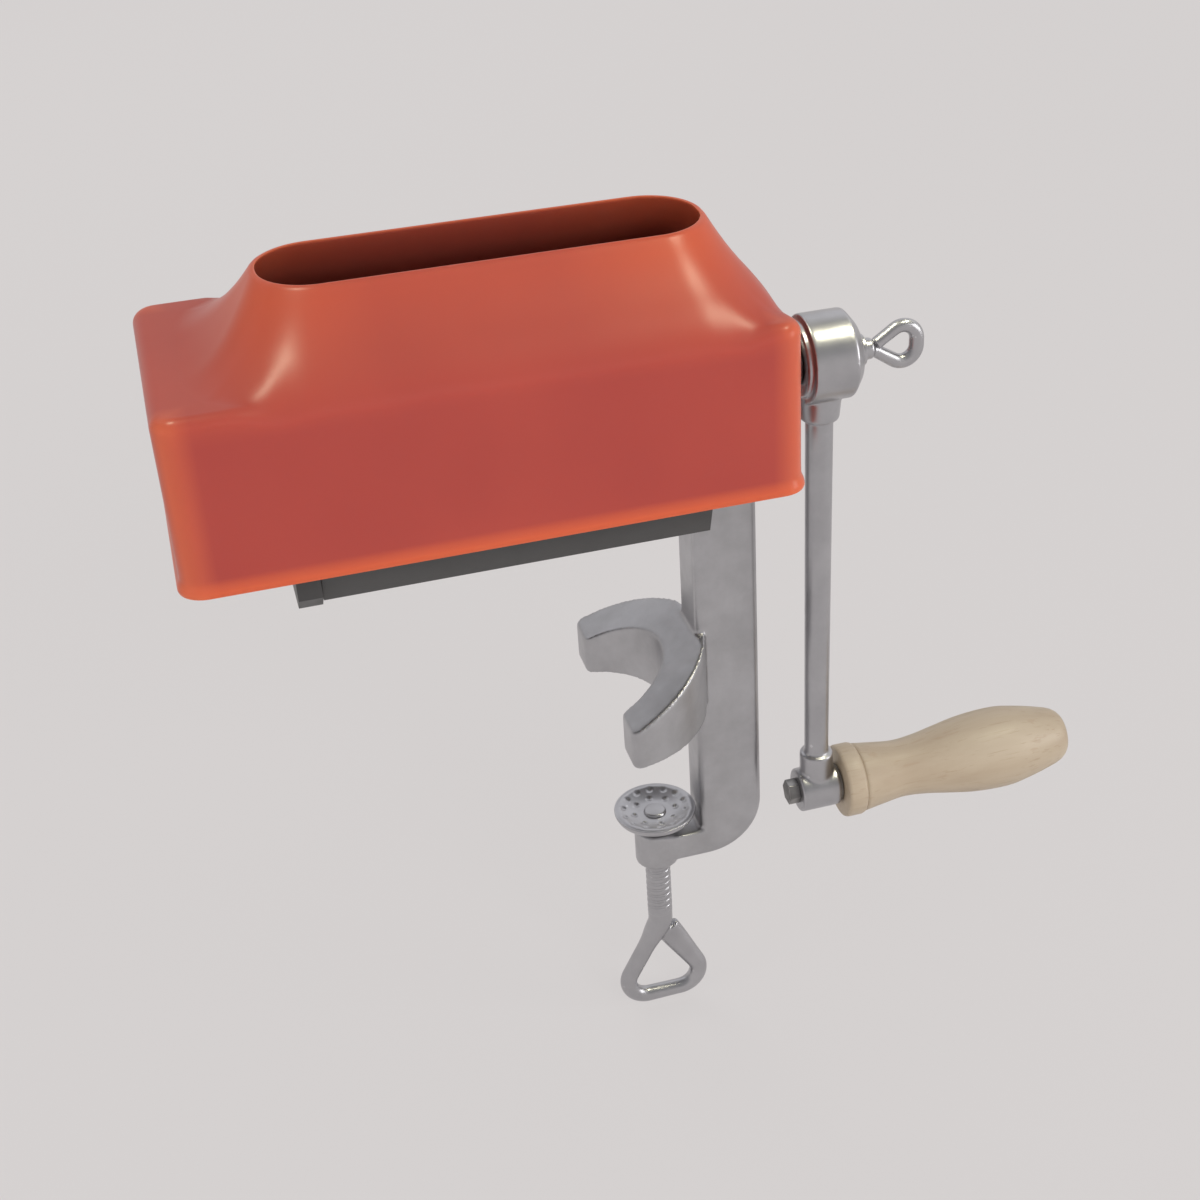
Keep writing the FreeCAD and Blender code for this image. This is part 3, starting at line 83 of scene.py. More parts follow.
FINISH_OF = {
    "orange_plastic": ["hopper_cover"],
    "cast_aluminium": ["frame_casting"],
    "black_nylon": ["left_end_plate", "front_comb", "rear_comb", "front_spacers",
                    "rear_spacers", "drive_gear", "driven_gear"],
    "zinc_steel": ["lower_front_tie_rod", "lower_rear_tie_rod", "upper_front_tie_rod",
                   "upper_rear_tie_rod", "left_tie_rod_screws", "right_tie_rod_screws",
                   "front_shaft", "rear_shaft", "front_gear_washer", "front_gear_nut",
                   "rear_gear_washer", "rear_gear_nut", "crank_arm", "eye_screw",
                   "eye_screw_washer", "clamp_screw", "pressure_pad"],
    "blade_steel": ["front_blades", "rear_blades"],
    "bronze": ["front_left_bush", "rear_left_bush", "front_right_bush", "rear_right_bush"],
    "beech_wood": ["handle"],
    "dark_steel": ["handle_bolt", "handle_washer", "handle_nut"],
}
SLOT_OF = {node: slot for slot, members in FINISH_OF.items() for node in members}

# How far the edges are broken on each node that keeps its own shape.
BEVELS = {
    "left_end_plate": 0.8, "front_comb": 0.4, "rear_comb": 0.4,
    "front_spacers": 0.25, "rear_spacers": 0.25, "drive_gear": 0.25, "driven_gear": 0.25,
    "lower_front_tie_rod": 0.3, "lower_rear_tie_rod": 0.3, "upper_front_tie_rod": 0.3,
    "upper_rear_tie_rod": 0.3, "left_tie_rod_screws": 0.2, "right_tie_rod_screws": 0.2,
    "front_shaft": 0.3, "rear_shaft": 0.3, "front_gear_washer": 0.15, "front_gear_nut": 0.35,
    "rear_gear_washer": 0.15, "rear_gear_nut": 0.35, "eye_screw_washer": 0.15,
    "front_blades": 0.12, "rear_blades": 0.12, "front_left_bush": 0.2, "rear_left_bush": 0.2,
    "front_right_bush": 0.2, "rear_right_bush": 0.2, "handle_bolt": 0.3, "handle_washer": 0.15,
    "handle_nut": 0.3,
}


def box_mm(node):
    low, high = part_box(node)
    return low / MM, high / MM


def clamped(value):
    return min(1.0, max(0.0, value))


def eased(share):
    """A share from 0 to 1, slowed at both ends."""
    return share * share * (3 - 2 * share)


# ---------------------------------------------------------------- shader nodes

def add(tree, kind, inputs=None, **settings):
    """A shader node with its inputs set to a value or linked to a socket."""
    item = tree.nodes.new("ShaderNode" + kind)
    for key, value in settings.items():
        setattr(item, key, value)
    for key, value in (inputs or {}).items():
        if isinstance(value, bpy.types.NodeSocket):
            tree.links.new(value, item.inputs[key])
        else:
            item.inputs[key].default_value = value
    return item


def noise(tree, scale, detail, stretch=(1, 1, 1), rough=0.5, distortion=0.0):
    """Noise in object coordinates, which stretch scales along each axis."""
    place = add(tree, "TexCoord").outputs["Object"]
    spot = add(tree, "Mapping", {"Vector": place, "Scale": stretch}).outputs[0]
    return add(tree, "TexNoise", {
        "Vector": spot, "Scale": scale, "Detail": detail,
        "Roughness": rough, "Distortion": distortion}).outputs[0]


def spread(tree, source, low, high, new_low=0.0, new_high=1.0):
    """The source's range from low to high moved to a new one, and held there beyond it."""
    return add(tree, "MapRange", {
        "Value": source, "From Min": low, "From Max": high,
        "To Min": new_low, "To Max": new_high}).outputs[0]


def ramp(tree, source, stops):
    item = add(tree, "ValToRGB", {"Fac": source})
    band = item.color_ramp
    while len(band.elements) < len(stops):
        band.elements.new(0.5)
    for element, (place, colour) in zip(band.elements, stops):
        element.position = place
        element.color = (*colour, 1)
    return item.outputs[0]


def mixed(tree, factor, first, second, blend="MIX"):
    """Two colours mixed; each may be a socket.  A Mix node's colours are its inputs 6 and 7."""
    item = add(tree, "Mix", {0: factor}, data_type="RGBA", blend_type=blend)
    for index, value in ((6, first), (7, second)):
        if isinstance(value, bpy.types.NodeSocket):
            tree.links.new(value, item.inputs[index])
        else:
            item.inputs[index].default_value = (*value, 1)
    return item.outputs[2]


def maths(tree, how, first, second=0.0):
    return add(tree, "Math", {0: first, 1: second}, operation=how).outputs[0]


def bumped(tree, height, distance, strength, below=None):
    """A normal with bumps of the given depth, over another normal if there is one."""
    inputs = {"Height": height, "Distance": distance * MM, "Strength": strength}
    if below is not None:
        inputs["Normal"] = below
    return add(tree, "Bump", inputs).outputs[0]


def edges(tree, low, high):
    """0 on flat ground, rising to 1 along outer edges; low and high are pointiness."""
    shape = add(tree, "NewGeometry").outputs["Pointiness"]
    return spread(tree, shape, low, high)


def material_of(name):
    """A new material without nodes, and its tree."""
    material = bpy.data.materials.new(name)
    material.use_nodes = True
    material.node_tree.nodes.clear()
    return material, material.node_tree


def finish(name, colour, roughness, normal, **constants):
    """Build one Principled material; colour, roughness and normal are functions of the tree."""
    material, tree = material_of(name)
    inputs = {"Base Color": colour(tree), "Roughness": roughness(tree), "Normal": normal(tree)}
    shader = add(tree, "BsdfPrincipled", {**inputs, **constants})
    add(tree, "OutputMaterial", {"Surface": shader.outputs[0]})
    return material


# ---------------------------------------------------------------- materials

def orange_plastic():
    def painted_glow_masks(tree):
        """Where a glow of light through the shell is painted on, 0 to 1: at the rim and mouth, and
        at the corners.
        """
        low, high = box_mm("hopper_cover")
        place = add(tree, "SeparateXYZ", {0: add(tree, "TexCoord").outputs["Object"]})
        x, y, z = place.outputs
        middle, reach = (low.x + high.x) / 2, (high.x - low.x) / 2
        from_end = maths(tree, "SUBTRACT", reach * MM, maths(
            tree, "ABSOLUTE", maths(tree, "SUBTRACT", x, middle * MM)))
        from_side = maths(tree, "SUBTRACT", high.y * MM, maths(tree, "ABSOLUTE", y))
        from_corner = maths(tree, "MAXIMUM", from_end, from_side)

        corner_starts, corner_full = 13, 1
        rim_starts, rim_full, rim_glow = 6, 2, 0.85
        mouth_starts, mouth_full, mouth_glow = 34, 4, 0.75
        ends_start, ends_full, middle_glow = 75, 35, 0.45
        corner = spread(tree, from_corner, corner_starts * MM, corner_full * MM)
        rim = spread(tree, z, (low.z + rim_starts) * MM, (low.z + rim_full) * MM, 0, rim_glow)
        mouth = spread(tree, z, (high.z - mouth_starts) * MM, (high.z - mouth_full) * MM,
                       0, mouth_glow)
        at_ends = spread(tree, from_end, ends_start * MM, ends_full * MM, middle_glow, 1)
        return maths(tree, "MAXIMUM", rim, maths(tree, "MULTIPLY", mouth, at_ends)), corner

    def colour(tree):
        cloud = noise(tree, 24, 1)
        base = ramp(tree, cloud, [(0.2, (0.366, 0.057, 0.046)), (0.8, (0.406, 0.065, 0.049))])
        # painted glow: brighter orange painted where light through the thin shell would show, and a
        # second painted glow at the corners
        through, corner = painted_glow_masks(tree)
        painted_glow = mixed(tree, through, base, (0.62, 0.115, 0.047))
        painted_glow = mixed(tree, corner, painted_glow, (0.64, 0.135, 0.062))
        # painted edge glow: lighter orange painted along the sharp edges, as of light through the
        # shell
        painted_edge_glow = maths(tree, "MULTIPLY", edges(tree, 0.52, 0.60), 0.7)
        return mixed(tree, painted_edge_glow, painted_glow, (0.72, 0.20, 0.085))

    def roughness(tree):
        return spread(tree, noise(tree, 45, 3), 0.3, 0.7, 0.285, 0.33)

    def normal(tree):
        peel = noise(tree, 520, 2)
        sink = noise(tree, 30, 1)
        return bumped(tree, peel, 0.01, 0.3, bumped(tree, sink, 0.3, 0.2))

    return finish("orange_plastic", colour, roughness, normal, **{
        "IOR": 1.49, "Specular IOR Level": 0.2, "Subsurface Weight": 0.12,
        "Subsurface Radius": (0.004, 0.0012, 0.0006), "Subsurface Scale": 1.0})


def metal(name, dark, light, worn, shine, grain, blotch, grain_size):
    """A bare or plated metal: blotches of tone, a fine grain, and edges rubbed bright."""
    def rubbed(tree):
        return edges(tree, 0.525, 0.58)

    def colour(tree):
        cloud = noise(tree, blotch, 5, rough=0.6)
        base = ramp(tree, cloud, [(0.32, dark), (0.68, light)])
        patches = spread(tree, noise(tree, 160, 4), 0.35, 0.6)
        return mixed(tree, maths(tree, "MULTIPLY", rubbed(tree), patches), base, worn)

    def roughness(tree):
        haze = spread(tree, noise(tree, blotch * 2.2, 5), 0.3, 0.7, *shine)
        return maths(tree, "SUBTRACT", haze, spread(tree, rubbed(tree), 0, 1, 0, 0.02))

    def normal(tree):
        fine = noise(tree, grain_size, 3)
        wide = noise(tree, grain_size / 6, 3)
        return bumped(tree, fine, grain, 0.5, bumped(tree, wide, grain * 3, 0.35))

    return finish(name, colour, roughness, normal, Metallic=1.0)


def blade_steel():
    def rings(tree):
        """Fine rings about the two roller axes, as a grinder leaves them."""
        place = add(tree, "TexCoord").outputs["Object"]
        x, y, z = add(tree, "SeparateXYZ", {0: place}).outputs
        across = maths(tree, "SUBTRACT", maths(tree, "ABSOLUTE", y), ROLLER_Y * MM)
        up = maths(tree, "SUBTRACT", z, ROLLER_Z * MM)
        out = maths(tree, "SQRT", maths(tree, "ADD", maths(tree, "MULTIPLY", across, across),
                                        maths(tree, "MULTIPLY", up, up)))
        along = maths(tree, "MULTIPLY", x, 0.3)
        radius = add(tree, "CombineXYZ", {0: out, 1: along}).outputs[0]
        return add(tree, "TexNoise", {"Vector": radius, "Scale": 2600.0, "Detail": 2.0}).outputs[0]

    def colour(tree):
        return ramp(tree, rings(tree), [(0.3, (0.50, 0.50, 0.51)), (0.7, (0.66, 0.66, 0.67))])

    def roughness(tree):
        return spread(tree, rings(tree), 0.3, 0.7, 0.29, 0.38)

    def normal(tree):
        return bumped(tree, rings(tree), 0.03, 0.4)

    return finish("blade_steel", colour, roughness, normal, Metallic=1.0)


def black_nylon():
    def colour(tree):
        cloud = noise(tree, 60, 4)
        base = ramp(tree, cloud, [(0.3, (0.018, 0.018, 0.019)), (0.7, (0.032, 0.031, 0.031))])
        return mixed(tree, edges(tree, 0.51, 0.58), base, (0.075, 0.072, 0.070))

    def roughness(tree):
        return spread(tree, noise(tree, 120, 5), 0.3, 0.7, 0.38, 0.55)

    def normal(tree):
        return bumped(tree, noise(tree, 1500, 2), 0.04, 0.5)

    return finish("black_nylon", colour, roughness, normal, IOR=1.53)


def beech_wood():
    def pore_lines(tree):
        return noise(tree, 900, 3, (0.06, 1, 1))

    def colour(tree):
        grain = noise(tree, 60, 6, (0.10, 1, 1), rough=0.6, distortion=0.4)
        base = ramp(tree, grain, [(0.25, (0.37, 0.282, 0.195)), (0.45, (0.435, 0.348, 0.25)),
                                  (0.7, (0.50, 0.415, 0.31))])
        pores = spread(tree, pore_lines(tree), 0.60, 0.70)
        flecks = spread(tree, noise(tree, 420, 2, (0.22, 1, 1)), 0.64, 0.70)
        speckled = mixed(tree, maths(tree, "MULTIPLY", pores, 0.45), base, (0.33, 0.24, 0.15))
        return mixed(tree, maths(tree, "MULTIPLY", flecks, 0.35), speckled, (0.36, 0.25, 0.16))

    def roughness(tree):
        return spread(tree, noise(tree, 300, 4, (0.15, 1, 1)), 0.3, 0.7, 0.42, 0.6)

    def normal(tree):
        soft = noise(tree, 90, 3, (0.12, 1, 1))
        return bumped(tree, pore_lines(tree), 0.05, 0.4, bumped(tree, soft, 0.25, 0.25))

    return finish("beech_wood", colour, roughness, normal, **{
        "IOR": 1.5, "Coat Weight": 0.15, "Coat Roughness": 0.35})


MATERIALS = {
    "orange_plastic": orange_plastic(),
    "cast_aluminium": metal(
        "cast_aluminium", dark=(0.43, 0.425, 0.435), light=(0.53, 0.525, 0.54),
        worn=(0.66, 0.66, 0.67), shine=(0.36, 0.48), grain=0.05, blotch=55.0, grain_size=700.0),
    "zinc_steel": metal(
        "zinc_steel", dark=(0.42, 0.415, 0.43), light=(0.49, 0.485, 0.50),
        worn=(0.62, 0.615, 0.63), shine=(0.30, 0.37), grain=0.003, blotch=60.0, grain_size=900.0),
    "blade_steel": blade_steel(),
    "bronze": metal(
        "bronze", dark=(0.42, 0.25, 0.10), light=(0.58, 0.37, 0.16),
        worn=(0.72, 0.50, 0.25), shine=(0.28, 0.42), grain=0.04, blotch=90.0, grain_size=1200.0),
    "dark_steel": metal(
        "dark_steel", dark=(0.16, 0.155, 0.15), light=(0.25, 0.24, 0.235),
        worn=(0.42, 0.41, 0.40), shine=(0.32, 0.46), grain=0.04, blotch=110.0, grain_size=1200.0),
    "black_nylon": black_nylon(),
    "beech_wood": beech_wood(),
}


# ---------------------------------------------------------------- meshes and pieces

def new_mesh(name, spots, faces):
    mesh = bpy.data.meshes.new(name)
    mesh.from_pydata([Vector(spot) * MM for spot in spots], [], faces)
    mesh.validate()
    return mesh


def ringed(name, rings, closed=False):
    """A skin over rings of equally many spots: closed into a loop, or with a cap at each end."""
    steps = len(rings[0])
    faces = []
    for row in range(len(rings) if closed else len(rings) - 1):
        after = (row + 1) % len(rings)
        for step in range(steps):
            beside = (step + 1) % steps
            faces.append((row * steps + step, row * steps + beside,
                          after * steps + beside, after * steps + step))
    if not closed:
        faces.append(tuple(range(steps)))
        faces.append(tuple(range((len(rings) - 1) * steps, len(rings) * steps)))
    mesh = new_mesh(name, [spot for ring in rings for spot in ring], faces)
    work = bmesh.new()
    work.from_mesh(mesh)
    bmesh.ops.recalc_face_normals(work, faces=work.faces)
    work.to_mesh(mesh)
    work.free()
    return mesh


def joined_meshes(meshes):
    work = bmesh.new()
    for mesh in meshes:
        work.from_mesh(mesh)
    result = bpy.data.meshes.new("joined")
    work.to_mesh(result)
    work.free()
    return result


def welded(node):
    """The node's mesh as one closed surface of flat faces, without its stored normals."""
    work = bmesh.new()
    work.from_mesh(NODES[node].data)
    bmesh.ops.remove_doubles(work, verts=work.verts, dist=1e-6)
    bmesh.ops.dissolve_limit(work, angle_limit=math.radians(0.4), verts=work.verts,
                             edges=work.edges)
    bmesh.ops.recalc_face_normals(work, faces=work.faces)
    work.verts.index_update()
    spots = [vertex.co / MM for vertex in work.verts]
    faces = [[vertex.index for vertex in face.verts] for face in work.faces]
    work.free()
    return new_mesh(node + "_welded", spots, faces)


def evaluated(mesh, *modifiers):
    """The mesh after a stack of modifiers, each given as (type, settings)."""
    holder = bpy.data.objects.new("work", mesh)
    bpy.context.scene.collection.objects.link(holder)
    for kind, settings in modifiers:
        step = holder.modifiers.new(kind, kind)
        for key, value in settings.items():
            setattr(step, key, value)
    bpy.context.view_layer.update()
    result = bpy.data.meshes.new_from_object(
        holder.evaluated_get(bpy.context.evaluated_depsgraph_get()))
    bpy.data.objects.remove(holder)
    return result


def softened_skin(mesh, voxel, rounds):
    """One closed skin round everything in the mesh, with every corner softened."""
    return evaluated(mesh, ("REMESH", {"mode": "VOXEL", "voxel_size": voxel * MM}),
                     ("SMOOTH", {"factor": 0.5, "iterations": rounds}))


def shown(name, mesh, node, stands_for=True, crease=40.0):
    """Put a mesh in the scene as a finished piece on the body of the node it stands for."""
    piece = bpy.data.objects.new(name, mesh)
    bpy.context.scene.collection.objects.link(piece)
    mesh.materials.clear()
    mesh.materials.append(MATERIALS[SLOT_OF[node]])
    mesh.shade_smooth()
    if crease:
        mesh.set_sharp_from_angle(angle=math.radians(crease))
    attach(piece, BODY_OF[node])
    if stands_for:
        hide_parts(node)
    return piece


def refined(node, bevel):
    """The node's own shape with its edges broken."""
    piece = shown(node + "_finished", welded(node), node)
    broken = piece.modifiers.new("broken_edges", "BEVEL")
    broken.width = bevel * MM
    broken.segments = 2
    broken.limit_method = "ANGLE"
    broken.angle_limit = math.radians(35)
    broken.use_clamp_overlap = True
    piece.modifiers.new("closed_up", "WELD").merge_threshold = 0.001 * MM
    piece.modifiers.new("normals", "WEIGHTED_NORMAL").keep_sharp = True


def lathe(profile, centre, axis, steps, closed=False):
    """A turned surface; profile is (along, radius) and axis "x" or "z"."""
    rings = []
    for along, radius in profile:
        ring = []
        for step in range(steps):
            turn = 2 * math.pi * step / steps
            a, b = radius * math.cos(turn), radius * math.sin(turn)
            spot = (along, a, b) if axis == "x" else (a, b, along)
            ring.append(tuple(c + s for c, s in zip(centre, spot)))
        rings.append(ring)
    return ringed("turned", rings, closed)


def swept(path, section, steps):
    """A bar along a path; section(share) gives its half width in the path's plane and across."""
    lengths = [0.0]
    for before, after in zip(path, path[1:]):
        lengths.append(lengths[-1] + (after - before).length)
    side = Vector((0, 1, 0))
    turns = [2 * math.pi * step / steps for step in range(steps)]
    rings = []
    for index, place in enumerate(path):
        before = path[max(index - 1, 0)]
        after = path[min(index + 1, len(path) - 1)]
        flat = (after - before).normalized().cross(side).normalized()
        half_flat, half_side = section(lengths[index] / lengths[-1])
        rings.append([place + flat * half_flat * math.cos(turn) + side * half_side * math.sin(turn)
                      for turn in turns])
    return ringed("swept", rings)


def threaded(radius, depth, pitch, low, high, fade, per_turn, rows):
    """A screw's surface along Z with a real helix that fades over some pitches at both ends."""
    count = max(2, round((high - low) / pitch * rows))
    rings = []
    for row in range(count + 1):
        z = low + (high - low) * row / count
        ends = min(1.0, (z - low) / (pitch * fade), (high - z) / (pitch * fade))
        ring = []
        for step in range(per_turn):
            turn = 2 * math.pi * step / per_turn
            phase = (z / pitch - step / per_turn) % 1.0
            groove = eased(clamped(1.5 - abs(phase - 0.5) * 5))
            r = radius - depth * groove * max(0.0, ends)
            ring.append((r * math.cos(turn), r * math.sin(turn), z))
        rings.append(ring)
    return ringed("threaded", rings)


# ---------------------------------------------------------------- lines

def softened(corners, bend, steps=4, closed=False):
    """A polyline with each corner replaced by a small curve; bend is a size or one per corner."""
    bends = bend if isinstance(bend, list) else [bend] * len(corners)
    spots = [Vector(corner) for corner in corners]
    count = len(spots)
    result = []
    for index, (spot, size) in enumerate(zip(spots, bends)):
        if not closed and index in (0, count - 1):
            result.append(spot)
            continue
        before, after = spots[index - 1], spots[(index + 1) % count]
        back = min(size, (before - spot).length * 0.49)
        ahead = min(size, (after - spot).length * 0.49)
        first = spot + (before - spot).normalized() * back
        last = spot + (after - spot).normalized() * ahead
        for step in range(steps + 1):
            t = step / steps
            result.append(first * (1 - t) ** 2 + spot * 2 * t * (1 - t) + last * t ** 2)
    return [tuple(spot) for spot in result]


def flowing(knots, steps):
    """A smooth line through knots (Catmull-Rom)."""
    spots = [Vector(knot) for knot in knots]
    spots = [spots[0] * 2 - spots[1], *spots, spots[-1] * 2 - spots[-2]]
    result = []
    for a, b, c, d in zip(spots, spots[1:], spots[2:], spots[3:]):
        for step in range(steps):
            t = step / steps
            result.append(0.5 * (2 * b + (c - a) * t + (2 * a - 5 * b + 4 * c - d) * t ** 2
                                 + (3 * b - a - 3 * c + d) * t ** 3))
    result.append(spots[-2])
    return [tuple(spot) for spot in result]


def rounded_path(spots, bend, step=0.6):
    """Points along straight runs and tangent arcs, about a step apart."""
    result = [spots[0]]

    def run_to(target):
        start = result[-1]
        count = max(1, round((target - start).length / step))
        result.extend(start.lerp(target, k / count) for k in range(1, count + 1))

    for before, corner, after in zip(spots, spots[1:], spots[2:]):
        back, ahead = (before - corner).normalized(), (after - corner).normalized()
        half = back.angle(ahead) / 2
        first = corner + back * (bend / math.tan(half))
        centre = corner + (back + ahead).normalized() * (bend / math.sin(half))
        run_to(first)
        arm = first - centre
        turned = math.pi - 2 * half
        normal = (-back).cross(ahead).normalized()
        count = max(3, round(turned * bend / step))
        for k in range(1, count + 1):
            result.append(centre + Matrix.Rotation(turned * k / count, 3, normal) @ arm)
    run_to(spots[-1])
    return result


def eye_path(neck, wire, width, length, bend, direction, across, close):
    """The centre line of a bar bent into a rounded triangular eye.

    wire is the bar's half width, and width and length are the eye's outer size.  The bar's end
    comes back to lie beside its start, and nearer to it where close is below 1.
    """
    far, half = length - wire, width / 2 - wire
    side = half
    for _ in range(12):             # the bends cut the corners, so these stand further apart
        side = half + bend * (1 / math.tan(math.atan2(far, side) / 2) - 1)
    limb = math.hypot(side, far)
    apart = close * wire * (1 + math.cos(2 * math.atan2(side, far))) + 0.3
    end = apart * limb / (2 * side * far)
    places = [(0, -bend), (0, 0), (-side, far), (side, far), (side * end, far * end)]
    return rounded_path([neck + across * x + direction * y for x, y in places], bend)


# ---------------------------------------------------------------- hopper cover

def corner_angles(first, last):
    """Angles across one corner, in degrees: close together between first and last."""
    wide = [angle for angle in range(0, 91, 5) if not first - 3 < angle < last + 3]
    return sorted(wide + [first - 2 + (last - first + 4) * k / 12 for k in range(13)])


def ring_of(spot, angles, height):
    """A closed ring: each corner's points from spot(corner, angle), with straight runs between."""
    arcs = [[Vector(spot(corner, 90 * corner + angle)) for angle in angles[corner]]
            for corner in range(4)]
    ring = []
    for index, bend in enumerate(arcs):
        ring.extend(bend)
        count = 20 if index % 2 == 0 else 12
        after = arcs[(index + 1) % 4][0]
        ring.extend(bend[-1].lerp(after, k / count) for k in range(1, count))
    return [Vector((place.x, place.y, height)) for place in ring]


def around(angle):
    return Vector((math.cos(math.radians(angle)), math.sin(math.radians(angle))))


def ray_to_outline(centre, way, left, right, half, corner):
    """Where a ray from inside meets a rounded rectangle."""
    side_x, side_y = (right if way.x > 0 else left), math.copysign(half, way.y)
    reach_x = (side_x - centre.x) / way.x if abs(way.x) > 1e-9 else math.inf
    reach_y = (side_y - centre.y) / way.y if abs(way.y) > 1e-9 else math.inf
    hit = centre + way * min(reach_x, reach_y)
    inner = Vector((side_x - math.copysign(corner, way.x), side_y - math.copysign(corner, way.y)))
    past_x = (hit.x - inner.x) * math.copysign(1, way.x)
    past_y = (hit.y - inner.y) * math.copysign(1, way.y)
    if past_x <= 0 or past_y <= 0:
        return hit
    away = centre - inner
    along = away.dot(way)
    return centre + way * (-along + math.sqrt(along ** 2 - away.length_squared + corner ** 2))


def parabola(start, control, end, steps):
    """Rows of points along parabolas from the points of start to those of end."""
    return [[a * (1 - t) ** 2 + c * 2 * t * (1 - t) + b * t ** 2
             for a, c, b in zip(start, control, end)]
            for t in (step / steps for step in range(steps + 1))]


def quarter(steps, first=0):
    """Angles over a quarter turn, in radians."""
    return [math.radians(90 * step / steps) for step in range(first, steps + 1)]


def cover_rings(low, high):
    """The shell's rings: out round the bead, up the wall and the chute, and down the inside."""
    left, right, half = low.x + BEAD, high.x - BEAD, high.y - BEAD
    base, top = low.z, high.z
    wall, corner, shoulder = 2.0, 8.0, 4.5
    roof = top - 24.5
    rise = top - roof
    ceiling = roof - wall
    draw_in = 0.35                  # how far the long walls bow inwards
    hollow = 0.075                  # how far the chute's slope is hollowed, as a share of it
    lip_from = 0.955                # where the lip's rounding starts, as a share of the slope
    up_the_wall = (8, 15, 22, 29, 36, 43)

    # The chute narrows from its foot to its lip: left and right end, half width, corner radius.
    foot_box, foot_corner = (left + 18.5, right - 2, half - 1.5), 31.0
    lip_box, lip_corner = (left + 38.5, right - 19, 20.5), 19.5

    def centres(box, bend):
        return [Vector((box[1] - bend, box[2] - bend)), Vector((box[0] + bend, box[2] - bend)),
                Vector((box[0] + bend, bend - box[2])), Vector((box[1] - bend, bend - box[2]))]

    foot_centres, lip_centres = centres(foot_box, foot_corner), centres(lip_box, lip_corner)

    def span(index):
        """The angles of one corner of the chute between which the skirt's own corner lies."""
        centre = foot_centres[index]
        x = (right if index in (0, 3) else left) - centre.x
        y = math.copysign(half, centre.y) - centre.y
        ends = ((x, y - math.copysign(corner, y)), (x - math.copysign(corner, x), y))
        turns = sorted(math.degrees(math.atan2(b, a)) % 360 - 90 * index for a, b in ends)
        return corner_angles(*turns)

    angles = [span(index) for index in range(4)]

    def skirt(out, z):
        """A ring round the wall, so far outside its face."""
        def spot(index, angle):
            return ray_to_outline(foot_centres[index], around(angle), left - out, right + out,
                                  half + out, corner + out)

        ring = ring_of(spot, angles, z)
        sag = draw_in * math.sin(math.pi * clamped((z - base - 3) / (roof - 14 - base)))
        middle, reach = (left + right) / 2, (right - left) / 2
        for place in ring:
            run = 1 - ((place.x - middle) / reach) ** 2
            place.y *= 1 - sag * max(0.0, run) / half
        return ring

    def chute(t, inset, z):
        """A ring round the chute, at a share of its slope and so far inside its face."""
        share = t + hollow * math.sin(math.pi * clamped(t))
        bend = foot_corner + (lip_corner - foot_corner) * share - inset

        def spot(index, angle):
            return foot_centres[index].lerp(lip_centres[index], share) + around(angle) * bend

        return ring_of(spot, angles, z)

    rings = [skirt(-wall, base + 0.5), skirt(-wall + 0.15, base + 0.15), skirt(-wall + 0.5, base)]
    for out, up in ((0.7, 0), (1.05, 0.15), (BEAD, 0.55), (BEAD, 1.3), (1.1, 1.9), (0.85, 2.6),
                    (0.5, 3.4), (0.2, 4.2), (0.05, 4.9)):
        rings.append(skirt(out, base + up))
    rings += [skirt(0, base + up) for up in (*up_the_wall, 49)]

    # Where the ledge is wide it is flat between a shoulder and a foot fillet; where it is narrow
    # the wall turns straight into the chute's slope.
    narrow_ledge, wide_ledge = 2.0, 12.0
    climb = 9.0                     # how far the foot fillet reaches up the slope
    edge, foot, lip = skirt(0, roof), chute(0, 0, roof), chute(1, 0, top)
    gaps = [(f - e).length for e, f in zip(edge, foot)]
    climb_at = climb / rise
    up_the_cone = chute(climb_at, 0, roof + climb)
    wide = [skirt(shoulder * (math.cos(turn) - 1), roof - shoulder + shoulder * math.sin(turn))
            for turn in quarter(8)]
    start = [f + (e - f) * min(0.8, climb / gap) for e, f, gap in zip(wide[-1], foot, gaps)]
    wide += parabola(start, foot, up_the_cone, 10)
    corner_at = []
    for e, f, l, gap in zip(edge, foot, lip, gaps):
        run = (l - f).xy.length
        corner_at.append(Vector((e.x, e.y, roof - min(gap, 3.0) * rise / run)))
    narrow = parabola([c - Vector((0, 0, 5.5)) for c in corner_at], corner_at, up_the_cone,
                      len(wide) - 1)
    shares = [eased(clamped((gap - narrow_ledge) / (wide_ledge - narrow_ledge))) for gap in gaps]
    for broad, slim in zip(wide, narrow):
        rings.append([a.lerp(b, share) for a, b, share in zip(slim, broad, shares)])

    for step in range(1, 6):
        t = climb_at + (lip_from - climb_at) * step / 5
        rings.append(chute(t, 0, roof + rise * t))
    for inset, drop in ((0.12, 0.55), (0.45, 0.14), (0.85, 0), (1.2, 0), (1.6, 0.14), (1.9, 0.55)):
        rings.append(chute(1 - drop / rise, inset, top - drop))

    inner_low, inner_fillet = 0.06, 3.0
    for step in range(7):
        t = lip_from - (lip_from - inner_low) * step / 6
        rings.append(chute(t, wall, ceiling + (top - ceiling) * t))
    rings.append(chute(0, wall - 1.2, ceiling))
    rings.append(skirt(-wall - 3.2, ceiling))
    for turn in quarter(5, 1):
        rings.append(skirt(-wall - inner_fillet + inner_fillet * math.sin(turn),
                           ceiling - inner_fillet + inner_fillet * math.cos(turn)))
    rings += [skirt(-wall, base + up) for up in (48, *reversed(up_the_wall), 3)]
    return rings


def slot_cutter(wall_x, base, y, radius):
    """A prism through the end wall: open below, and round on top about a roller's axis."""
    below, through = 5, 8
    outline = [(y - radius, base - below), (y + radius, base - below)]
    for angle in range(0, 181, 6):
        turn = math.radians(angle)
        outline.append((y + radius * math.cos(turn), ROLLER_Z + radius * math.sin(turn)))
    rings = [[(x, a, b) for a, b in outline] for x in (wall_x - through, wall_x + through)]
    cutter = bpy.data.objects.new("slot", ringed("slot", rings))
    bpy.context.scene.collection.objects.link(cutter)
    return cutter


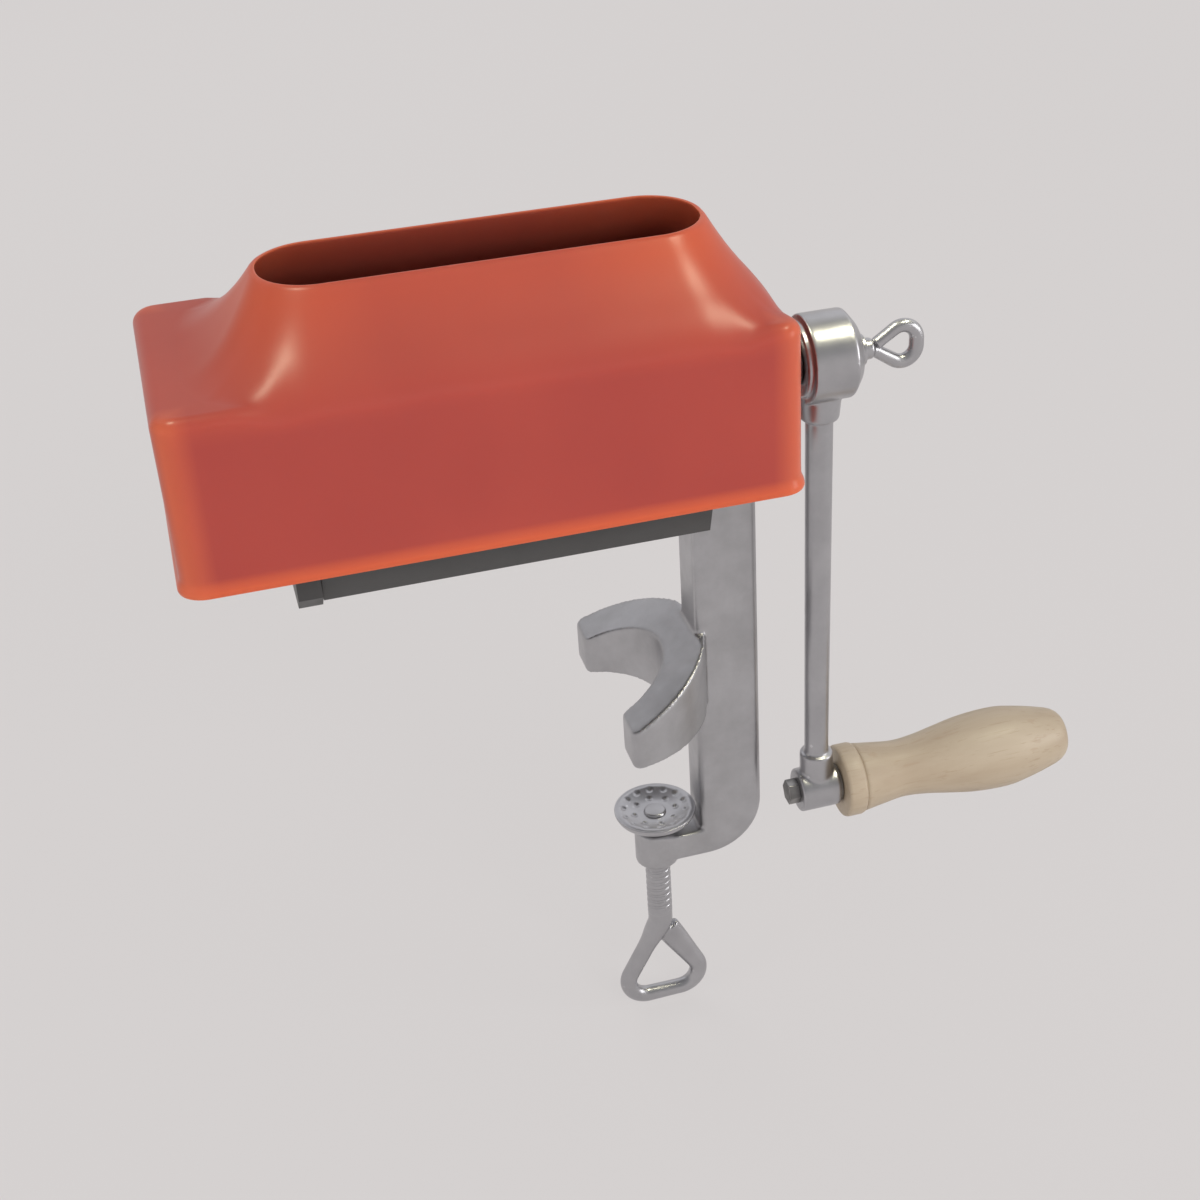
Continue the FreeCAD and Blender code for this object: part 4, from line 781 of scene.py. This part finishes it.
def cover_shell():
    """Thin moulded shell: beaded skirt, rounded shoulder, tapered feed chute, two shaft slots."""
    low, high = box_mm("hopper_cover")
    mesh = ringed("cover_shell", cover_rings(low, high), closed=True)
    cutters = [slot_cutter(high.x - BEAD, low.z, y, radius)
               for y, radius in ((-ROLLER_Y, 9.3), (ROLLER_Y, 7.1))]
    bpy.context.view_layer.update()
    mesh = evaluated(mesh, *[("BOOLEAN", {"operation": "DIFFERENCE", "solver": "EXACT",
                                          "object": cutter}) for cutter in cutters])
    for cutter in cutters:
        bpy.data.objects.remove(cutter)
    shown("hopper_cover_shell", mesh, "hopper_cover", crease=35)


# ---------------------------------------------------------------- frame, crank and handle

def frame_casting():
    """The casting with every corner softened."""
    shown("frame_casting_skin", softened_skin(welded("frame_casting"), 0.72, 9),
          "frame_casting", crease=0)


def crank_arm():
    """The forged arm, with the short socket that the rod stands in under the hub."""
    low, high = box_mm("crank_arm")
    hub_across = 31
    hub_low = high.z - hub_across
    rod_x = low.x + 8.7
    socket = lathe([(hub_low - 7.5, 0.3), (hub_low - 7.5, 6.6), (hub_low - 6.9, 7.0),
                    (hub_low + 2.5, 7.9), (hub_low + 3.5, 0.3)], (rod_x, -ROLLER_Y, 0), "z", 64)
    skin = softened_skin(joined_meshes([welded("crank_arm"), socket]), 0.47, 11)
    shown("crank_arm_skin", skin, "crank_arm", crease=0)


def eye_screw():
    """Eye screw: rolled thread, a turned neck and a bent wire eye run into it."""
    thread_radius, thread_length, wire = 3.0, 20, 2.4
    neck_x = box_mm("eye_screw")[0].x + thread_length
    screw = threaded(thread_radius, depth=0.45, pitch=1.0, low=-thread_length, high=0, fade=1.5,
                     per_turn=40, rows=10)
    screw.transform(Matrix.Rotation(math.radians(90), 4, "Y"))
    screw.transform(Matrix.Translation(Vector((neck_x, -ROLLER_Y, ROLLER_Z)) * MM))
    shown("eye_screw_thread", screw, "eye_screw", stands_for=False)

    neck = lathe(softened([(neck_x - 1, 0.5), (neck_x, thread_radius), (neck_x, 3.9),
                           (neck_x + 3.0, 3.7), (neck_x + 4.2, wire), (neck_x + 4.6, 0.5)], 0.5),
                 (0, -ROLLER_Y, ROLLER_Z), "x", 48)
    path = eye_path(Vector((neck_x + 3, -ROLLER_Y, ROLLER_Z)), wire, width=18, length=19.5,
                    bend=5.4, direction=Vector((1, 0, 0)), across=Vector((0, 0, 1)), close=0.6)
    bar = swept(path, lambda share: (2.2 + 0.5 * math.sin(math.pi * share) ** 2, wire), 24)
    eye = softened_skin(joined_meshes([neck, bar]), 0.22, 6)
    shown("eye_screw_eye", eye, "eye_screw", crease=0)


def handle():
    """Turned beech grip with a flange, a scribed groove and a recess for the bolt's head."""
    low, high = box_mm("handle")
    length = high.x - low.x
    flange, bore = 14.3, 3.1
    groove_at, groove = 7.6, 0.7
    front = [(0, bore), (0, flange - 1.2), (0.35, flange - 0.35), (1.2, flange),
             (groove_at - groove - 0.6, flange), (groove_at - 0.35, flange - 0.35),
             (groove_at - 0.1, flange - 1.0), (groove_at + 0.2, flange - 1.25),
             (groove_at + groove, flange - groove - 0.15)]
    grip = flowing([(groove_at + 1.6, flange - 0.95), (16, 12.35), (25, 11.3), (34, 12.0),
                    (43.5, 13.65), (53, 15.25), (62, 16.0), (70, 15.95), (76.2, 15.0),
                    (83.5, 13.4), (90.5, 11.5)], 8)
    recess_floor = length - 4.2
    end = [(92.6, 10.6), (94.1, 9.6), (95.1, 8.5), (length, 7.4), (length, 5.6),
           (length - 0.25, 5.15), (recess_floor, 5.05), (recess_floor, bore)]
    profile = [(low.x + x, r) for x, r in front + grip + end]
    mesh = lathe(profile, (0, -ROLLER_Y, (low.z + high.z) / 2), "x", 96, closed=True)
    shown("handle_grip", mesh, "handle", crease=50)


# ---------------------------------------------------------------- clamp

def clamp_screw():
    """Clamp screw: shallow rolled thread, riveted tip, and a loop with flattened limbs."""
    low, high = box_mm("clamp_screw")
    axis_x = (low.x + high.x) / 2
    stem_radius, tip_radius = 5.0, 3
    stem_low = low.z + 43.35        # where the stem runs into the loop
    shoulder = -56.4                # where the stem steps down to the tip, under the pad
    tip_top = high.z
    screw = threaded(stem_radius, depth=0.3, pitch=3.0, low=stem_low + 6, high=shoulder,
                     fade=1.2, per_turn=56, rows=14)
    screw.transform(Matrix.Translation(Vector((axis_x, 0, 0)) * MM))
    shown("clamp_screw_thread", screw, "clamp_screw", stands_for=False)
    tip = lathe(softened([(shoulder - 1, 0.3), (shoulder, tip_radius), (tip_top - 1.2, tip_radius),
                          (tip_top - 1.2, 4.6), (tip_top - 0.2, 3.9), (tip_top, 0.3)], 0.4),
                (axis_x, 0, 0), "z", 48)
    shown("clamp_screw_tip", tip, "clamp_screw", stands_for=False)

    path = eye_path(Vector((axis_x, 0, stem_low)), wire=4.3, width=38.8, length=42.3, bend=8.5,
                    direction=Vector((0, 0, -1)), across=Vector((1, 0, 0)), close=0.55)
    path = [Vector((axis_x, 0, stem_low + 9)), *path]
    in_plane = [(0, stem_radius), (0.1, 4.9), (0.2, 3.7), (0.45, 3.5), (0.6, 3.2), (0.72, 3.7),
                (1, 5.3)]

    def section(share):
        """Half widths: round at the stem, drawn thin round the loop, hammered broad at its end."""
        before, after = next((a, b) for a, b in zip(in_plane, in_plane[1:]) if share <= b[0] + 1e-9)
        t = eased((share - before[0]) / (after[0] - before[0]))
        across = 4.9 - 1.7 * clamped((share - 0.08) / 0.14)
        return before[1] + (after[1] - before[1]) * t, across

    loop = softened_skin(swept(path, section, 32), 0.4, 8)
    shown("clamp_screw_loop", loop, "clamp_screw", crease=0)


def pressure_pad():
    """Dished pad with two rings of dimples in its face."""
    low, high = box_mm("pressure_pad")
    axis_x = (low.x + high.x) / 2
    radius = (high.x - low.x) / 2
    bottom, top = low.z, high.z
    hub, bore = 8.5, 3.05
    dish = [(top - 2 + 2 * t ** 1.6, 6.5 + (radius - 9.0) * t) for t in (k / 24 for k in range(25))]
    profile = softened([
        (bottom, bore), (bottom, hub), (bottom + 2.4, hub), (bottom + 2.4, radius - 1),
        (top - 1, radius), (top, radius)], [0.2, 0.5, 0.9, 0.6, 0.5, 0.5], 5, closed=True)
    profile += [(top, radius - 0.9), (top, radius - 1.7), *reversed(dish), (top - 2, 5.0),
                (top - 2, bore)]
    mesh = lathe(profile, (axis_x, 0, 0), "z", 144, closed=True)

    dimple_depth, dimple_radius = 0.5, 1.35
    inner, outer = (8.4, 8, 0), (12.4, 14, 0.25)    # ring radius, dimples, turn in dimple steps
    middle = Vector((axis_x, 0)) * MM
    dimples = []
    for out, count, offset in (inner, outer):
        for k in range(count):
            turn = 2 * math.pi * (k + offset) / count
            dimples.append(Vector((out * math.cos(turn), out * math.sin(turn))))
    for vertex in mesh.vertices:
        place = (vertex.co.xy - middle) / MM
        if vertex.co.z > (top - 2.1) * MM and 5 < place.length < radius - 1.8:
            near = min((place - dimple).length for dimple in dimples)
            vertex.co.z -= dimple_depth * MM * max(0.0, 1 - (near / dimple_radius) ** 2)
    shown("pressure_pad_dish", mesh, "pressure_pad", crease=45)


# ---------------------------------------------------------------- floor, backdrop and lamps

def seen_directly(tree):
    """1 for what the camera sees, also in gloss and through clear matter; 0 for diffuse light."""
    path = add(tree, "LightPath").outputs
    return maths(tree, "MAXIMUM", path["Is Camera Ray"], maths(
        tree, "MAXIMUM", path["Is Glossy Ray"], path["Is Transmission Ray"]))


def floor():
    """A pale plane, mostly its own plain colour, and lit near the machine to show a shadow."""
    floor_z = cad_low.z
    reach = 12.0
    mesh = bpy.data.meshes.new("floor")
    mesh.from_pydata([(-reach, -reach, floor_z), (reach, -reach, floor_z),
                      (reach, reach, floor_z), (-reach, reach, floor_z)], [], [(0, 1, 2, 3)])
    plane = bpy.data.objects.new("floor", mesh)
    bpy.context.scene.collection.objects.link(plane)
    material, tree = material_of("floor")
    lit = add(tree, "BsdfDiffuse", {"Color": (0.70, 0.67, 0.66, 1)})
    plain = add(tree, "Emission", {"Color": (*PALE, 1)})
    away = add(tree, "VectorMath", {0: add(tree, "TexCoord").outputs["Object"]},
               operation="LENGTH").outputs["Value"]
    plain_near, near, far = 0.84, 0.5, 2
    plain_share = maths(tree, "MULTIPLY", seen_directly(tree),
                        spread(tree, away, near, far, plain_near, 1))
    both = add(tree, "MixShader", {0: plain_share, 1: lit.outputs[0], 2: plain.outputs[0]})
    add(tree, "OutputMaterial", {"Surface": both.outputs[0]})
    mesh.materials.append(material)


def world():
    """Soft light from all round, and a studio of its own for the camera and for gloss."""
    studio = bpy.data.worlds.new("studio")
    bpy.context.scene.world = studio
    studio.use_nodes = True
    tree = studio.node_tree
    tree.nodes.clear()
    way = add(tree, "TexCoord").outputs["Generated"]
    back, up = add(tree, "SeparateXYZ", {0: way}).outputs[1:]

    level = ramp(tree, spread(tree, back, -1, 1), [
        (0.0, (0.52, 0.52, 0.52)), (0.5, (0.28, 0.28, 0.28)), (1.0, (0.34, 0.34, 0.34))])
    overhead = ramp(tree, spread(tree, up, 0.3, 1), [(0.0, (0, 0, 0)), (1.0, (0.5, 0.5, 0.5))])
    for_light = add(tree, "Background", {"Color": mixed(tree, 1.0, level, overhead, "ADD")})

    to_right_and_back = add(tree, "VectorMath", {0: way, 1: (0.8, 0.6, 0)},
                            operation="DOT_PRODUCT").outputs["Value"]
    right_back = spread(tree, to_right_and_back, 0.56, 0.80)
    band = maths(tree, "MULTIPLY", spread(tree, back, 0.2, 0.5), maths(
        tree, "MULTIPLY", spread(tree, up, 0.42, 0.54), spread(tree, up, 0.88, 0.72)))
    room = ramp(tree, maths(tree, "MAXIMUM", right_back, band),
                [(0.0, (0.33, 0.33, 0.34)), (1.0, (0.93, 0.93, 0.96))])
    above = spread(tree, up, 0.12, 0.45)
    for_eyes = add(tree, "Background", {"Color": mixed(tree, above, PALE, room)})
    both = add(tree, "MixShader", {0: seen_directly(tree), 1: for_light.outputs[0],
                                   2: for_eyes.outputs[0]})
    add(tree, "OutputWorld", {"Surface": both.outputs[0]})


def lamp(name, place, aim, size, power, colour=(1, 1, 1)):
    data = bpy.data.lights.new(name, "AREA")
    data.shape = "RECTANGLE"
    data.size, data.size_y = size
    data.energy = power
    data.color = colour
    item = bpy.data.objects.new(name, data)
    item.location = place
    item.rotation_euler = (Vector(aim) - Vector(place)).to_track_quat("-Z", "Y").to_euler()
    bpy.context.scene.collection.objects.link(item)
    return item


def lamps():
    front = lamp("front", (0.5, -2.6, 1.5), (0, 0, 0.08), (1.6, 1.2), 33)
    front.visible_glossy = False
    side = lamp("side", (1.55, -0.85, 0.42), (0, 0, 0.05), (0.7, 0.8), 9)
    side.visible_camera = False
    fill = lamp("fill", (-1.6, -0.6, 0.5), (0, 0, 0.1), (0.7, 0.7), 5)
    fill.visible_camera = fill.visible_glossy = False
    back = lamp("back", (-0.5, 2.4, 1.1), (0, 0, 0.08), (1.6, 1.2), 18)
    back.visible_camera = back.visible_glossy = False

    # Two small warm lamps that only give gloss, one over each front corner of the chute.
    gleam_distance = 1.5
    for name, spot, way in (("left", (-0.133, -0.039, 0.171), (-0.28, 0.05, 0.96)),
                            ("right", (0.005, -0.042, 0.170), (0.48, -0.16, 0.87))):
        gleam = lamp(name, Vector(spot) + Vector(way).normalized() * gleam_distance, spot,
                     (0.30, 0.19), 11.5, (0.96, 0.93, 0.68))
        gleam.visible_diffuse = False


def camera():
    """Stand where the photograph was taken from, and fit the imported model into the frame."""
    aim = Vector((0.857, -6.971, 41.857)) * MM
    distance = 0.69
    fill = 0.78                     # the machine's share of the frame
    yaw, pitch, roll = math.radians(16), math.radians(31.6), math.radians(2.3)
    forward = Vector((math.sin(yaw) * math.cos(pitch), math.cos(yaw) * math.cos(pitch),
                      -math.sin(pitch)))
    level = forward.cross(Vector((0, 0, 1))).normalized()
    down = forward.cross(level)
    right = level * math.cos(roll) + down * math.sin(roll)
    up = level * math.sin(roll) - down * math.cos(roll)
    eye = aim - forward * distance
    spots = []
    for node in NODES.values():
        for vertex in node.data.vertices:
            ray = vertex.co - eye
            depth = ray.dot(forward)
            spots.append((ray.dot(right) / depth, ray.dot(up) / depth))
    sides, heights = zip(*spots)
    data = bpy.data.cameras.new("camera")
    span = max(max(sides) - min(sides), max(heights) - min(heights))
    data.sensor_width = 36
    data.lens = data.sensor_width * fill / span
    data.shift_x = (max(sides) + min(sides)) / 2 * data.lens / data.sensor_width
    data.shift_y = (max(heights) + min(heights)) / 2 * data.lens / data.sensor_width
    data.clip_start, data.clip_end = 0.05, 30
    item = bpy.data.objects.new("camera", data)
    bpy.context.scene.collection.objects.link(item)
    item.matrix_world = Matrix((
        (right.x, up.x, -forward.x, eye.x), (right.y, up.y, -forward.y, eye.y),
        (right.z, up.z, -forward.z, eye.z), (0, 0, 0, 1)))
    bpy.context.scene.camera = item


# ---------------------------------------------------------------- assembly

for member, width in BEVELS.items():
    refined(member, width)
cover_shell()
frame_casting()
crank_arm()
eye_screw()
handle()
clamp_screw()
pressure_pad()
floor()
world()
lamps()
camera()

bpy.context.scene.view_settings.view_transform = "Standard"
